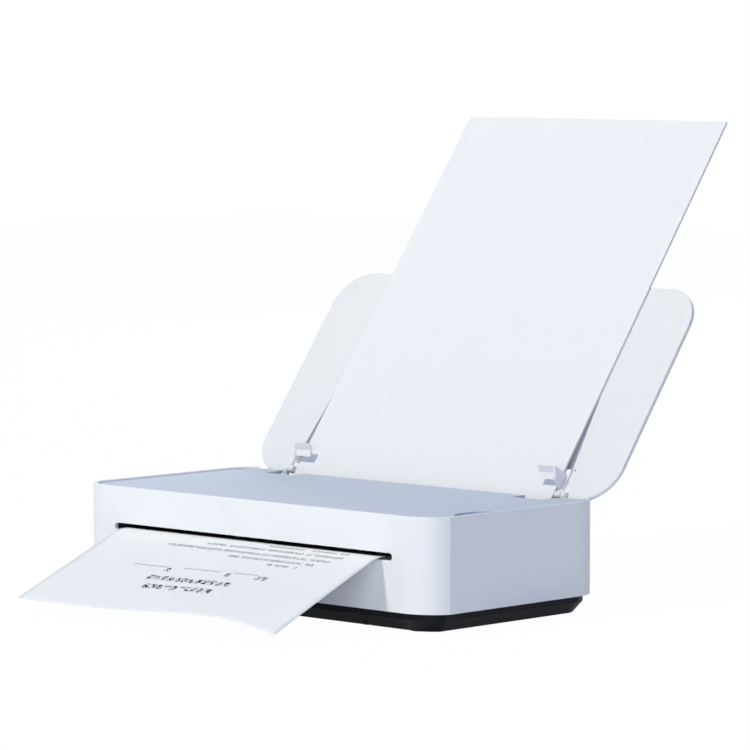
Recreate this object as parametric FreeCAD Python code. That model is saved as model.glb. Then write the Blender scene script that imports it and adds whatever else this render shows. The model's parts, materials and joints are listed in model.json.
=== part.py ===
"""Compact inkjet printer whose lid folds back to be the paper tray.

Millimetres, +Z up, +X to the printer's right, -Y to its front.
The origin is the centre of the footprint, on the table.
A name ending in _set is a distance in from a face of the case.
"""
import FreeCAD
import Part
import math
import os

V = FreeCAD.Vector

# Case
body_width = 288.6
body_depth = 149.5
corner_radius = 24.4
crease_angle = 66.4
wall = 2.2
seam_gap = 0.25
rim_top = 66.6
rim_round = 0.8
band_bottom = 11.8
joint_sink = 0.5
cut_over = 1.0
running_gap = 0.05

# Base, feet and screws
foot_height = 1.0
foot_radius = 7.0
foot_sink = 1.0
foot_side_set = 27.35
foot_end_set = 20.35
base_foot_inset = 9.85
base_wall_inset = 4.05
base_wall = 2.15
base_shoulder = 7.6
base_floor = 3.6
base_step = 9.0
base_step_inset = 11.5
base_top = 12.4
screw_side_set = 59.3
screw_end_set = 11.0
screw_radius = 1.5
screw_head_radius = 3.0
screw_head_height = 1.6
screw_clearance = 0.2
screw_grip = 4.0
cross_length = 4.0
cross_width = 0.7
boss_radius = 4.0
pad_height = 5.0
pad_reach = 16.0
pad_width = 14.0
side_pad_set = 24.75
side_pad_length = 20.0
side_pad_reach = 2.5

# Slot that the sheet leaves by
slot_side = 8.0
slot_top = 44.9
slot_height = 4.4
slot_lip = 0.8

# Top plate, the ink access door
plate_top = 65.4
plate_thick = 2.2
plate_gap = 0.35
plate_round = 0.4
throat_set = 10.85
throat_side = 10.6
ear_set = 5.25
door_pin_set = 13.25
door_pin_radius = 0.9
door_pin_reach = 1.3
door_pin_root = 3.0
door_relief = 7.0
scoop_radius = 23.0
scoop_out = 5.7
scoop_set = 44.75
scoop_depth = 1.2
notch_in = 15.0
notch_out = 8.0
notch_set = 22.15
tab_side = 45.0
tab_width = 16.0
tab_reach = 2.0

# Lid, the paper tray, in its own frame: x, u up the slope, n out of its inner face
lid_tilt = 53.47
lid_set = 2.09
lid_z = 65.47
lid_side = 1.64
lid_foot = 1.12
lid_short = 0.88
lid_top_radius = 24.85
lid_low_radius = 24.0
lid_edge = 2.43
lid_round = 0.7
lid_thick = 6.4
lid_bevel = 14.0
lid_rest = 0.4
lid_rear_set = 1.35
well_side = 5.0
well_side_top = 0.4
well_top = 70.0
well_depth = 4.0
track_side = 7.6
track_low = 3.6
track_high = 18.9
track_depth = 1.8
hinge_pin_radius = 1.0
hinge_post_radius = 2.0
hinge_lug_radius = 2.2
hinge_side = 7.0
hinge_post_width = 3.0
hinge_post_depth = 4.0
hinge_lug_width = 4.6
hinge_lug_sink = 1.0
hinge_side_gap = 0.35
rear_notch_side = 33.0
rear_notch_z = 60.3

# Paper guides on the lid
guide_slack = 0.4
guide_wall = 1.8
guide_lip = 12.0
guide_foot = 1.4
guide_foot_in = 5.0
guide_foot_out = 3.8
guide_top_u = 13.3
guide_top_n = 11.6
guide_groove_u = 10.7
guide_groove_n = 8.2
guide_nose_u = 7.2
guide_nose_n = 6.55
guide_back_u = 15.2
guide_back_n = 1.15
guide_heel_u = 5.1
guide_heel_n = 2.95
guide_lip_thick = 1.4
slide_gap = 0.05
side_gap = 0.25
pressure_angle = 20.0
rack_module = 0.8
rack_tip = 0.8
rack_root = 1.1
pinion_teeth = 10
rack_teeth = 24
rack_lead = 2.5
rack_back = 2.4

# Paper
paper_side = 39.3
paper_length = 297.0
paper_tail = 28.36
stack_thick = 1.5
sheet_thick = 0.3
sheet_tail = 4.0
sheet_bend_set = 4.75
sheet_bend_radius = 25.0
sheet_fall = 22.7
sheet_reach = 85.25
slot_paper_z = 42.6

# Frame and paper drive
frame_left_set = 9.8
frame_right_set = 8.3
frame_rear_set = 16.75
frame_front = 2.5
frame_corner = 6.0
frame_top = 61.0
frame_low_top = 58.0
frame_shoulder = 5.5
frame_slope = 10.0
plate_steel = 1.5
feed_set = 38.75
feed_z = 26.0
rod_ahead = 0.5
rod_z = 46.0
rod_radius = 4.0
roller_radius = 4.85
roller_over = 1.0
shaft_radius = 2.5
collar_rise = 1.5
collar_width = 2.7
collar_gap = 0.3
nip_gap = 0.3
ring_width = 8.0
ring_count = 6
ring_side = 15.0
pinch_radius = 3.2
pinch_axle = 1.2
pinch_eye = 2.1
pinch_reach = 14.0
pinch_finger = 8.0
pinch_finger_gap = 1.0
pinch_finger_thick = 2.4
pinch_count = 4
pinch_side = 30.0
pinch_bar_behind = 6.4
pinch_bar_deep = 2.8
pinch_bar_rise = 15.6
pinch_bar_high = 4.8
star_radius = 3.6
star_root = 0.72
star_thick = 0.8
star_offset = 2.5
star_axle = 0.8
star_gap = 0.45
star_teeth = 12
star_bar_half = 4.5
star_bar_gap = 0.5
star_bar_thick = 2.1
star_hanger_width = 3.0
star_hanger_deep = 4.0
star_hanger_below = 1.0
pick_radius = 5.0
pick_half = 22.0
pick_split = 4.0
pick_overhang = 10.0
pick_height = 1.5
pick_gap = 0.3
pick_hold_x = 26.0
pick_hold_wide = 4.0
pick_eye_radius = 3.9
chute_gap = 0.35
chute_wall = 2.2
chute_top_set = 1.5
chute_low_behind = 6.0
chute_low_rise = 7.6
chute_lip = 1.2
chute_over = 2.0
chute_narrow = 16.0
chute_shoulder_z = 52.5
chute_leg_front = 11.0
chute_leg_rear = 25.0
leg_thick = 3.0
ledge_in = 45.0
ledge_gap = 0.5
ledge_thick = 1.4
ledge_slope = 1.2

# Gear train outside the left side plate
gear_module = 1.0
gear_addendum = 0.8
gear_dedendum = 1.15
feed_teeth = 24
idler_teeth = 12
pinion_drive_teeth = 10
pick_teeth = 14
gear_width = 4.5
gear_backlash = 0.16
gear_side_gap = 1.0
gear_post_radius = 1.5
first_idler_angle = 109.0
motor_angle = -18.0
feed_motor_radius = 10.5
feed_motor_length = 24.0
motor_round = 1.2

# Carriage and its drive
carriage_half = 15.0
carriage_side_gap = 0.8
carriage_behind_rail = 5.5
carriage_ahead_rod = 4.0
carriage_floor = 42.6
carriage_top = 56.0
carriage_wall = 1.6
carriage_divider_drop = 4.0
carriage_web_rise = 3.0
snout_ahead = 26.0
snout_length = 20.0
snout_bottom = 33.4
nozzle_z = 32.3
nozzle_set = 3.0
nozzle_thick = 0.6
bushing_radius = 6.2
skid_ahead = 1.5
skid_thick = 2.0
cartridge_gap = 0.25
cartridge_top = 60.0
cartridge_round = 1.5
grip_length = 6.0
grip_rise = 1.2
rail_behind_belt = 20.5
rail_top = 50.0
rail_low = 40.5
rail_steel = 1.5
rail_flange = 6.0
belt_set = 26.75
belt_motor_set = 16.3
belt_idler_set = 10.3
belt_clip_width = 8.0
belt_clip_ahead = 3.0
belt_clip_deep = 7.0
belt_clip_rise = 1.5
belt_gap = 0.3
belt_radius = 5.0
belt_thick = 1.0
belt_low = 52.0
belt_high = 56.0
pulley_flange = 1.0
pulley_rise = 0.6
shaft_over = 2.0
motor_radius = 11.0
motor_collar = 3.5
motor_post_radius = 7.0
motor_low = 22.0
motor_high = 50.0
motor_shaft = 1.5
motor_socket = 6.0
idler_neck = 4.0
idler_foot = 3.0
idler_foot_half = 6.0
strip_ahead = 1.5
strip_low = 54.0
strip_high = 60.0
strip_thick = 0.3

# Platen, exit guide and service station
platen_front_set = 7.2
platen_rear_set = 5.6
platen_low = 20.0
platen_deck = 28.6
platen_rib_top = 30.7
platen_over = 0.6
platen_end = 4.0
platen_wall = 2.0
trough_front = 7.8
trough_rear = 6.4
trough_depth = 1.2
trough_end = 3.0
rib_count = 15
rib_width = 1.2
rib_gap = 0.5
absorber_gap = 0.3
absorber_rise = 0.6
exit_guide_behind = 7.0
exit_guide_gap = 0.7
exit_guide_thick = 2.0
exit_guide_over = 1.0
exit_roof_gap = 0.4
exit_roof_thick = 1.6
exit_roof_set = 8.0
exit_cheek_thick = 1.6
exit_leg_set = 34.75
exit_leg_length = 20.0
exit_leg_in = 5.0
station_low = 3.6
station_top = 24.0
station_depth = 14.0
station_wall = 2.0
station_front = 5.0
station_rear = 5.0
station_rear_wall = 1.5
station_rail = 3.0
sled_low = 24.4
sled_top = 28.4
sled_side = 3.0
sled_front = 0.5
sled_rear = 1.5
sled_stem_set = 6.0
sled_stem_end = 4.5
sled_stem_deep = 7.0
cap_top = 32.0
cap_half = 4.5
cap_end = 2.4
cap_wall = 1.2
cap_floor = 1.0

# Electronics and rear side
inlet_side_set = 42.3
inlet_z = 22.0
inlet_half = 8.0
inlet_height = 10.0
inlet_depth = 15.0
inlet_wall = 1.4
inlet_back = 2.0
inlet_flange = 2.0
inlet_pin_radius = 1.2
inlet_pin_pitch = 8.6
inlet_pin_set = 2.0
inlet_pin_tail = 3.0
button_z = 40.0
button_side_set = 48.3
button_pitch = 18.0
button_radius = 5.0
button_flange = 1.2
button_flange_rise = 1.0
button_proud = 0.8
button_round = 0.4
button_gap = 0.2
button_travel = 1.2
button_stem = 1.5
switch_half = 3.0
switch_high = 1.7
switch_gap = 0.3
board_thick = 1.6
button_board_set = 10.75
button_board_side = 8.0
button_board_below = 12.0
button_board_above = 7.0
board_post_radius = 2.2
board_post_offset = 5.0
electronics_set = 16.75
electronics_gap = 6.0
main_board_side_set = 44.3
main_board_middle = 24.0
main_board_rise = 4.0
main_board_leg = 2.5
main_board_leg_set = 4.0
chip_sink = 0.2
chip_size = 14.0
chip_high = 1.4
socket_long = 18.0
socket_wide = 7.0
socket_high = 6.0
supply_side_set = 46.3
supply_middle = 14.0
supply_high = 19.0
supply_bevel = 1.2
slit_count = 11
slit_width = 2.0
slit_depth = 1.0
slit_end = 8.0

# Values that follow from the sizes above
half_width = body_width / 2
half_depth = body_depth / 2
corner_x = half_width - corner_radius * math.sin(math.radians(crease_angle))
seam_y = -half_depth + corner_radius * (1 - math.cos(math.radians(crease_angle)))
front_in = -half_depth + wall
rear_in = half_depth - wall
wide = body_width
deep = body_depth
screw_x = half_width - screw_side_set
screw_y = half_depth - screw_end_set
paper_width = body_width - 2 * paper_side
paper_half = paper_width / 2
stack_front = slide_gap + stack_thick
slot_half = paper_half + slot_side
slot_low = slot_top - slot_height
plate_low = plate_top - plate_thick
plate_inset = wall + plate_gap
door_pin_y = half_depth - door_pin_set
door_pin_z = plate_top - plate_thick / 2
tilt = math.radians(lid_tilt)
lid_y = half_depth - lid_set
lid_half = half_width + lid_side
lid_low = -lid_foot
lid_high = lid_low + body_depth - lid_short
track_half = paper_half + track_side
track_middle = (track_low + track_high) / 2
hinge_post_inner = paper_half + hinge_side
left_plate_x = -half_width + frame_left_set
right_plate_x = half_width - frame_right_set
left_face = left_plate_x + plate_steel
right_face = right_plate_x
gear_outer = left_plate_x - gear_side_gap
feed_pitch = gear_module * feed_teeth / 2
idler_pitch = gear_module * idler_teeth / 2
pick_pitch = gear_module * pick_teeth / 2
drive_pitch = gear_module * pinion_drive_teeth / 2
rack_pitch = math.pi * rack_module
pinion_pitch = rack_module * pinion_teeth / 2
feed_y = half_depth - feed_set
idler_y = feed_y - feed_pitch - idler_pitch
exit_y = idler_y - feed_pitch - idler_pitch
feed_at = (feed_y, feed_z)
idler_at = (idler_y, feed_z)
exit_at = (exit_y, feed_z)
nip_z = feed_z + roller_radius + nip_gap
pinch_z = nip_z + pinch_radius
star_z = nip_z + sheet_thick / 2 + star_gap + star_radius
rod_y = feed_y - rod_ahead
belt_y = -half_depth + belt_set
rail_y = belt_y + rail_behind_belt
belt_motor_x = half_width - belt_motor_set
belt_idler_x = -half_width + belt_idler_set
carriage_x = right_face - carriage_half - carriage_side_gap
carriage_front = rail_y + carriage_behind_rail
carriage_rear = rod_y - carriage_ahead_rod
snout_front = feed_y - snout_ahead
snout_rear = snout_front + snout_length
platen_front = exit_y + platen_front_set
platen_rear = feed_y - platen_rear_set
platen_right = paper_half + platen_over
chute_wide = paper_half + chute_over
inlet_x = half_width - inlet_side_set
power_button_x = -half_width + button_side_set
wireless_button_x = power_button_x + button_pitch
button_board_y = half_depth - button_board_set
sheet_rise = math.atan2(slot_paper_z - nip_z, exit_y + half_depth)
sheet_back_y = exit_y - sheet_tail
sheet_bend_y = -half_depth + sheet_bend_set
sheet_front_y = -half_depth - sheet_reach


def hinge_point():
    """Axis that carries the leaning lid flat onto the case: the fixed point of that turn."""
    closed_z = rim_top + lid_rest
    closed_rear = half_depth - lid_rear_set
    a = math.sin(tilt)
    b = math.cos(tilt) + 1
    rise = closed_z - lid_z
    run = closed_rear - lid_y + lid_low
    u = (a * rise + b * run) / (a * a + b * b)
    n = (b * rise - a * run) / (a * a + b * b)
    return u, n


hinge_u, hinge_n = hinge_point()
hinge_y = lid_y + hinge_u * math.cos(tilt) - hinge_n * math.sin(tilt)
hinge_z = lid_z + hinge_u * math.sin(tilt) + hinge_n * math.cos(tilt)


def polar(start, distance, degrees):
    angle = math.radians(degrees)
    return start[0] + distance * math.cos(angle), start[1] + distance * math.sin(angle)


def paper_point(along, behind):
    """Point on or behind the stack's front sheet, measured up its slope from the tray's mouth."""
    n = stack_front - behind
    y = lid_y + along * math.cos(tilt) - n * math.sin(tilt)
    z = lid_z + along * math.sin(tilt) + n * math.cos(tilt)
    return y, z


pick_at = paper_point(pick_height - paper_tail, -pick_radius - pick_gap)
first_at = polar(feed_at, feed_pitch + idler_pitch, first_idler_angle)
drive_at = polar(feed_at, feed_pitch + drive_pitch, motor_angle)


def second_idler():
    """Centre that meshes with both the first idler and the pick gear, on the upper side."""
    near = 2 * idler_pitch
    far = idler_pitch + pick_pitch
    dy = pick_at[0] - first_at[0]
    dz = pick_at[1] - first_at[1]
    span = math.hypot(dy, dz)
    along = (near ** 2 - far ** 2 + span ** 2) / (2 * span)
    off = math.sqrt(near ** 2 - along ** 2)
    return first_at[0] + (along * dy - off * dz) / span, first_at[1] + (along * dz + off * dy) / span


second_at = second_idler()


def save(name, shape):
    shape.exportStep(os.path.join("parts", name + ".step"))


def box(x, y, z):
    corner = V(x[0], y[0], z[0])
    return Part.makeBox(x[1] - x[0], y[1] - y[0], z[1] - z[0], corner)


def rod_x(radius, x, y, z):
    return Part.makeCylinder(radius, x[1] - x[0], V(x[0], y, z), V(1, 0, 0))


def rod_y_axis(radius, x, y, z):
    return Part.makeCylinder(radius, y[1] - y[0], V(x, y[0], z), V(0, 1, 0))


def rod_z_axis(radius, x, y, z):
    return Part.makeCylinder(radius, z[1] - z[0], V(x, y, z[0]), V(0, 0, 1))


def about(middle, width):
    return middle - width / 2, middle + width / 2


def grown(span, by):
    return span[0] - by, span[1] + by


def on_side(sign, inner, outer):
    """Span of X on one side of the middle, lower value first."""
    return sorted((sign * inner, sign * outer))


def side_profile(points, x):
    """Solid with a polygon in Y and Z, or in the lid's u and n, run along X."""
    wire = Part.makePolygon([V(x[0], *point) for point in points] + [V(x[0], *points[0])])
    return Part.Face(wire).extrude(V(x[1] - x[0], 0, 0))


def strut(start, end, thick, x):
    """Straight web between two points in Y and Z."""
    run = math.hypot(end[0] - start[0], end[1] - start[1])
    dy = (start[1] - end[1]) / run * thick / 2
    dz = (end[0] - start[0]) / run * thick / 2
    points = [(start[0] + dy, start[1] + dz), (end[0] + dy, end[1] + dz),
              (end[0] - dy, end[1] - dz), (start[0] - dy, start[1] - dz)]
    return side_profile(points, x)


def join(shapes):
    shapes = list(shapes)
    return shapes[0].multiFuse(shapes[1:]).removeSplitter()


def mirror_x(shape):
    return shape.mirror(V(0, 0, 0), V(1, 0, 0))


def both_sides(shape):
    return [shape, mirror_x(shape)]


def top_edges(shape):
    height = shape.BoundBox.ZMax
    return [edge for edge in shape.Edges if edge.BoundBox.ZMin > height - running_gap]


def outline(inset, z):
    """Plan of the case at a given inset: creased front corners, full round rear corners."""
    side = half_width - inset
    radius = corner_radius - inset
    centre_y = -half_depth + corner_radius
    rear_x = half_width - corner_radius
    rear_y = half_depth - corner_radius
    crease = math.asin((side - corner_x) / radius)
    quarter = math.pi / 2

    def front_arc(angle, sign):
        return V(sign * (corner_x + radius * math.sin(angle)), centre_y - radius * math.cos(angle), z)

    def rear_arc(angle, sign):
        return V(sign * (rear_x + radius * math.cos(angle)), rear_y + radius * math.sin(angle), z)

    right = [front_arc(0, 1), front_arc(crease / 2, 1), front_arc(crease, 1)]
    right_rear = [rear_arc(0, 1), rear_arc(quarter / 2, 1), rear_arc(quarter, 1)]
    left_rear = [rear_arc(quarter, -1), rear_arc(quarter / 2, -1), rear_arc(0, -1)]
    left = [front_arc(crease, -1), front_arc(crease / 2, -1), front_arc(0, -1)]
    return rounded_wire([right, right_rear, left_rear, left])


def rounded_wire(corners):
    """Closed wire of arcs, each given by three points, with straight lines between them."""
    edges = []
    for corner, following in zip(corners, corners[1:] + corners[:1]):
        edges.append(Part.Arc(*corner).toShape())
        edges.append(Part.makeLine(corner[2], following[0]))
    return Part.Wire(edges)


def plan_block(inset, z):
    return Part.Face(outline(inset, z[0])).extrude(V(0, 0, z[1] - z[0]))


def ring(outer, inner, z):
    return plan_block(outer, z).cut(plan_block(inner, z))


def screw_places():
    return [(x, y) for x in (-screw_x, screw_x) for y in (-screw_y, screw_y)]


def foot_places():
    x = half_width - foot_side_set
    y = half_depth - foot_end_set
    return [(-x, -y), (x, -y), (-x, y), (x, y)]


def base_tray():
    rims = [outline(base_foot_inset, foot_height), outline(base_wall_inset, base_shoulder)]
    foot = Part.makeLoft(rims, True, True)
    tray = join([foot, plan_block(base_wall_inset, (base_shoulder, base_top))])
    tray = tray.cut(plan_block(base_step_inset, (base_floor, base_top)))
    tray = tray.cut(plan_block(base_wall_inset + base_wall, (base_step, base_top)))
    root = base_floor - joint_sink
    posts = [rod_z_axis(boss_radius, x, y, (root, base_top)) for x, y in screw_places()]
    for x in (belt_motor_x, belt_idler_x + motor_post_radius):
        posts.append(rod_z_axis(motor_post_radius, x, belt_y, (root, motor_low)))
    tray = join([tray] + posts)
    head = foot_height + screw_head_height + screw_clearance
    for x, y in screw_places():
        tray = tray.cut(rod_z_axis(screw_radius + screw_clearance, x, y, (0, base_top)))
        tray = tray.cut(rod_z_axis(screw_head_radius + screw_clearance, x, y, (0, head)))
    for x, y in foot_places():
        tray = tray.cut(rod_z_axis(foot_radius, x, y, (0, foot_height + foot_sink)))
    return tray


def rubber_feet():
    feet = []
    for x, y in foot_places():
        foot = rod_z_axis(foot_radius, x, y, (0, foot_height + foot_sink))
        lower = [edge for edge in foot.Edges if edge.BoundBox.ZMax < foot_height / 2]
        feet.append(foot.makeChamfer(foot_height / 2, lower))
    return Part.makeCompound(feet)


def case_screws():
    screws = []
    head_top = foot_height + screw_head_height + screw_clearance
    cross_z = (0, head_top - screw_head_height / 2)
    for x, y in screw_places():
        head = rod_z_axis(screw_head_radius, x, y, (head_top - screw_head_height, head_top))
        shank = rod_z_axis(screw_radius, x, y, (head_top, base_top + screw_grip))
        screw = head.fuse(shank)
        screw = screw.cut(box(about(x, cross_length), about(y, cross_width), cross_z))
        screws.append(screw.cut(box(about(x, cross_width), about(y, cross_length), cross_z)))
    return Part.makeCompound(screws)


def screw_pad(x, y_sign):
    z = (base_top, base_top + pad_height)
    y = sorted((y_sign * (half_depth - pad_reach), y_sign * half_depth))
    pad = box(about(x, pad_width), y, z).common(plan_block(wall / 2, z))
    return pad.cut(rod_z_axis(screw_radius, x, y_sign * screw_y, z))


def case_ring():
    shell = ring(0, wall, (band_bottom, rim_top))
    return shell.makeFillet(rim_round, top_edges(shell))


def front_panel():
    shell = case_ring().common(box((-wide, wide), (-deep, seam_y - seam_gap / 2), (0, rim_top)))
    tab_y = (front_in - joint_sink, front_in + tab_reach)
    tab_z = (plate_low - 2 * tab_reach, plate_low)
    tabs = both_sides(box(about(paper_half - tab_side, tab_width), tab_y, tab_z))
    panel = join([shell, screw_pad(-screw_x, -1), screw_pad(screw_x, -1)] + tabs)
    radius = slot_height / 2
    end = slot_half - radius
    through = (-deep, front_in + wall)
    slot = [box((-end, end), through, (slot_low, slot_top))]
    slot += both_sides(rod_y_axis(radius, end, through, slot_low + radius))
    panel = panel.cut(join(slot))
    outside = -half_depth - cut_over
    lip = [(outside, slot_low - slot_lip - cut_over), (-half_depth + slot_lip, slot_low), (outside, slot_low)]
    return panel.cut(side_profile(lip, (-end, end)))


def hinge_post(sign):
    x = on_side(sign, hinge_post_inner, hinge_post_inner + hinge_post_width)
    front = hinge_y - hinge_post_radius
    root = rear_notch_z - hinge_post_depth
    stem = box(x, (front, hinge_y + hinge_post_radius / 4), (root, hinge_z))
    foot = box(x, (front, half_depth - wall / 2), (root, rear_notch_z))
    return [stem, foot, rod_x(hinge_post_radius, x, hinge_y, hinge_z)]


def side_pad(sign):
    pad = ring(wall / 2, base_wall_inset + base_wall + side_pad_reach, (base_top, base_top + pad_height / 2))
    start = -half_depth + side_pad_set
    return pad.common(box(on_side(sign, corner_x, wide), (start, start + side_pad_length), (0, rim_top)))


def rear_shell():
    shell = case_ring().common(box((-wide, wide), (seam_y + seam_gap / 2, deep), (0, rim_top)))
    pads = [screw_pad(-screw_x, 1), screw_pad(screw_x, 1), side_pad(-1), side_pad(1)]
    shell = join([shell] + pads)
    notch = paper_half + rear_notch_side
    shell = shell.cut(box((-notch, notch), (half_depth - 3 * wall, deep), (rear_notch_z, deep)))
    shell = join([shell] + hinge_post(-1) + hinge_post(1))
    shell = shell.cut(rod_x(hinge_pin_radius, (-wide, wide), hinge_y, hinge_z))
    reach = door_edge_x() + plate_gap + door_pin_reach + running_gap
    shell = shell.cut(rod_x(door_pin_radius + running_gap, (-reach, reach), door_pin_y, door_pin_z))
    through = (rear_in - cut_over, deep)
    for x in (power_button_x, wireless_button_x):
        shell = shell.cut(rod_y_axis(button_radius + button_gap, x, through, button_z))
    shell = shell.cut(box(about(inlet_x, 2 * inlet_half), through, about(inlet_z, inlet_height)))
    between = (power_button_x + wireless_button_x) / 2
    post_y = (button_board_y + board_thick, rear_in + joint_sink)
    posts = [rod_y_axis(board_post_radius, between, post_y, button_z + rise)
             for rise in (-board_post_offset, board_post_offset)]
    return join([shell] + posts)


def door_edge_x():
    """Where the plate's edge lies on the rear corner arc at the door pins."""
    radius = corner_radius - plate_inset
    run = door_pin_y - (half_depth - corner_radius)
    return half_width - corner_radius + math.sqrt(radius ** 2 - run ** 2)


def top_plate():
    plate = plan_block(plate_inset, (plate_low, plate_top))
    plate = plate.makeFillet(plate_round, top_edges(plate))
    throat = paper_half + throat_side
    plate = plate.cut(box((-throat, throat), (half_depth - throat_set, deep), (0, rim_top)))
    plate = plate.cut(box((-wide, wide), (half_depth - ear_set, deep), (0, rim_top)))
    edge = door_edge_x()
    scoop_z = (plate_top - scoop_depth, rim_top)
    plate = plate.cut(rod_z_axis(scoop_radius, half_width + scoop_out, -half_depth + scoop_set, scoop_z))
    for sign in (-1, 1):
        notch_x = on_side(sign, paper_half - notch_in, paper_half + notch_out)
        plate = plate.cut(box(notch_x, (half_depth - notch_set, deep), (0, rim_top)))
        relief_x = on_side(sign, edge - 2 * plate_gap, wide)
        plate = plate.cut(box(relief_x, (door_pin_y - door_relief, deep), (0, rim_top)))
    pin_x = (edge - door_pin_root, edge + plate_gap + door_pin_reach)
    return join([plate] + both_sides(rod_x(door_pin_radius, pin_x, door_pin_y, door_pin_z)))


def in_lid(shape):
    shape.Placement = FreeCAD.Placement(V(0, lid_y, lid_z), FreeCAD.Rotation(V(1, 0, 0), lid_tilt))
    return shape


def lid_outline(inset, n):
    half = lid_half - inset
    low = lid_low + inset
    high = lid_high - inset

    def corner(x_sign, edge, u_sign, radius):
        cx = x_sign * (half - radius)
        cu = edge - u_sign * radius
        bend = radius * math.sqrt(1 / 2)
        middle = V(cx + x_sign * bend, cu + u_sign * bend, n)
        return [V(x_sign * half, cu, n), middle, V(cx, edge, n)]

    low_radius = lid_low_radius - inset
    high_radius = lid_top_radius - inset
    low_right = corner(1, low, -1, low_radius)[::-1]
    high_right = corner(1, high, 1, high_radius)
    high_left = corner(-1, high, 1, high_radius)[::-1]
    low_left = corner(-1, low, -1, low_radius)
    return rounded_wire([low_right, high_right, high_left, low_left])


def hinge_lug(sign):
    outer = hinge_post_inner - hinge_side_gap
    x = on_side(sign, outer - hinge_lug_width, outer)
    web = box(x, (hinge_u, hinge_u + hinge_lug_radius), (-hinge_lug_sink, hinge_n))
    return [rod_x(hinge_lug_radius, x, hinge_u, hinge_n), web]


def post_relief(sign):
    """Slot in the lid's foot that lets it turn past a hinge post of the case."""
    x = grown(on_side(sign, hinge_post_inner, hinge_post_inner + hinge_post_width), hinge_side_gap)
    u = (lid_low - cut_over, hinge_u + hinge_post_radius + hinge_side_gap)
    return box(x, u, (-lid_thick, cut_over))


def paper_well():
    """Wedge under the stack, deepest and widest beside the guides."""
    start = track_high - cut_over
    low_half = paper_half + well_side
    top_half = paper_half + well_side_top
    profile = [(start, cut_over), (start, -well_depth), (track_high, -well_depth), (well_top, 0),
               (well_top, cut_over)]
    corners = [(-low_half, start), (low_half, start), (top_half, well_top), (-top_half, well_top)]
    spots = [V(x, u, -well_depth) for x, u in corners]
    plan = Part.Face(Part.makePolygon(spots + spots[:1])).extrude(V(0, 0, well_depth + cut_over))
    return plan.common(side_profile(profile, (-low_half, low_half)))


def lid():
    slab = Part.Face(lid_outline(0, -lid_edge)).extrude(V(0, 0, lid_edge))
    slab = slab.makeFillet(lid_round, top_edges(slab))
    back = Part.makeLoft([lid_outline(0, -lid_edge), lid_outline(lid_bevel, -lid_thick)], True, True)
    body = join([slab, back])
    track = box((-track_half, track_half), (track_low, track_high), (-track_depth, cut_over))
    body = body.cut(track).cut(paper_well())
    body = body.cut(post_relief(-1)).cut(post_relief(1))
    body = join([body] + hinge_lug(-1) + hinge_lug(1))
    body = body.cut(rod_x(hinge_pin_radius + running_gap, (-wide, wide), hinge_u, hinge_n))
    post = rod_z_axis(gear_post_radius, 0, track_middle, (-track_depth, 0))
    return in_lid(join([body, post]))


def lid_pins():
    inner = hinge_post_inner - hinge_side_gap - hinge_lug_width
    pin = rod_x(hinge_pin_radius, (inner, hinge_post_inner + hinge_post_width), hinge_y, hinge_z)
    return Part.makeCompound(both_sides(pin))


def flat_gear(points):
    """Thin toothed piece that lies on the floor of the lid's track."""
    spots = [V(x, u, -track_depth + slide_gap) for x, u in points]
    return Part.Face(Part.makePolygon(spots + spots[:1])).extrude(V(0, 0, guide_foot))


def rack_strip(sign, start):
    """Toothed strip along x on one side of the pinion."""
    tip = rack_tip * rack_module
    root = rack_root * rack_module
    slope = math.tan(math.radians(pressure_angle))
    half = rack_pitch / 4 - gear_backlash / 2
    points = []
    for i in range(rack_teeth):
        x = start + i * rack_pitch
        points += [(x - half - root * slope, -root), (x - half + tip * slope, tip),
                   (x + half - tip * slope, tip), (x + half + root * slope, -root)]
    back = -root - rack_back
    points += [(points[-1][0], back), (points[0][0], back)]
    line = track_middle + sign * pinion_pitch
    return flat_gear([(x, line - sign * v) for x, v in points])


def guide_rack(sign, foot_n):
    lead = rack_lead * rack_pitch
    start = -lead if sign > 0 else lead - (rack_teeth - 1) * rack_pitch
    strip = rack_strip(sign, start)
    strip_end = strip.BoundBox.XMax if sign > 0 else strip.BoundBox.XMin
    line = track_middle + sign * (pinion_pitch + rack_root * rack_module)
    foot_edge = sign * (paper_half - guide_foot_in + joint_sink)
    arm_x = sorted((strip_end - sign * joint_sink, foot_edge))
    arm = box(arm_x, sorted((line, line + sign * rack_back)), foot_n)
    return [strip, arm]


def paper_guide(sign):
    edge = paper_half + guide_slack
    foot_n = (-track_depth + slide_gap, -track_depth + slide_gap + guide_foot)
    foot_x = (paper_half - guide_foot_in, paper_half + guide_foot_out)
    foot = box(foot_x, (track_low + side_gap, track_high - side_gap), foot_n)
    root = foot_n[1] - joint_sink
    top = (guide_top_u, guide_top_n)
    groove = (guide_groove_u, guide_groove_n)
    nose = (guide_nose_u, guide_nose_n)
    cheek_points = [top, (guide_back_u, guide_back_n), (guide_back_u, root),
                    (guide_heel_u, root), (guide_heel_u, guide_heel_n), nose]
    cheek = side_profile(cheek_points, (edge, edge + guide_wall))
    slope = math.atan2(guide_top_n - guide_nose_n, guide_top_u - guide_nose_u)
    step_u = guide_lip_thick * math.sin(slope)
    step_n = guide_lip_thick * math.cos(slope)
    lip_points = [top, groove, nose] + [(u + step_u, n - step_n) for u, n in (nose, groove, top)]
    lip = side_profile(lip_points, (edge - guide_lip, edge + guide_wall))
    guide = join([foot, cheek, lip])
    if sign < 0:
        guide = mirror_x(guide)
    return in_lid(join([guide] + guide_rack(sign, foot_n)))


def guide_pinion():
    teeth = tooth_outline(rack_module, pinion_teeth, math.pi / 2)
    gear = flat_gear([(a, track_middle + b) for a, b in teeth])
    hole = rod_z_axis(gear_post_radius + running_gap, 0, track_middle, (-lid_thick, lid_thick))
    return in_lid(gear.cut(hole))


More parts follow.
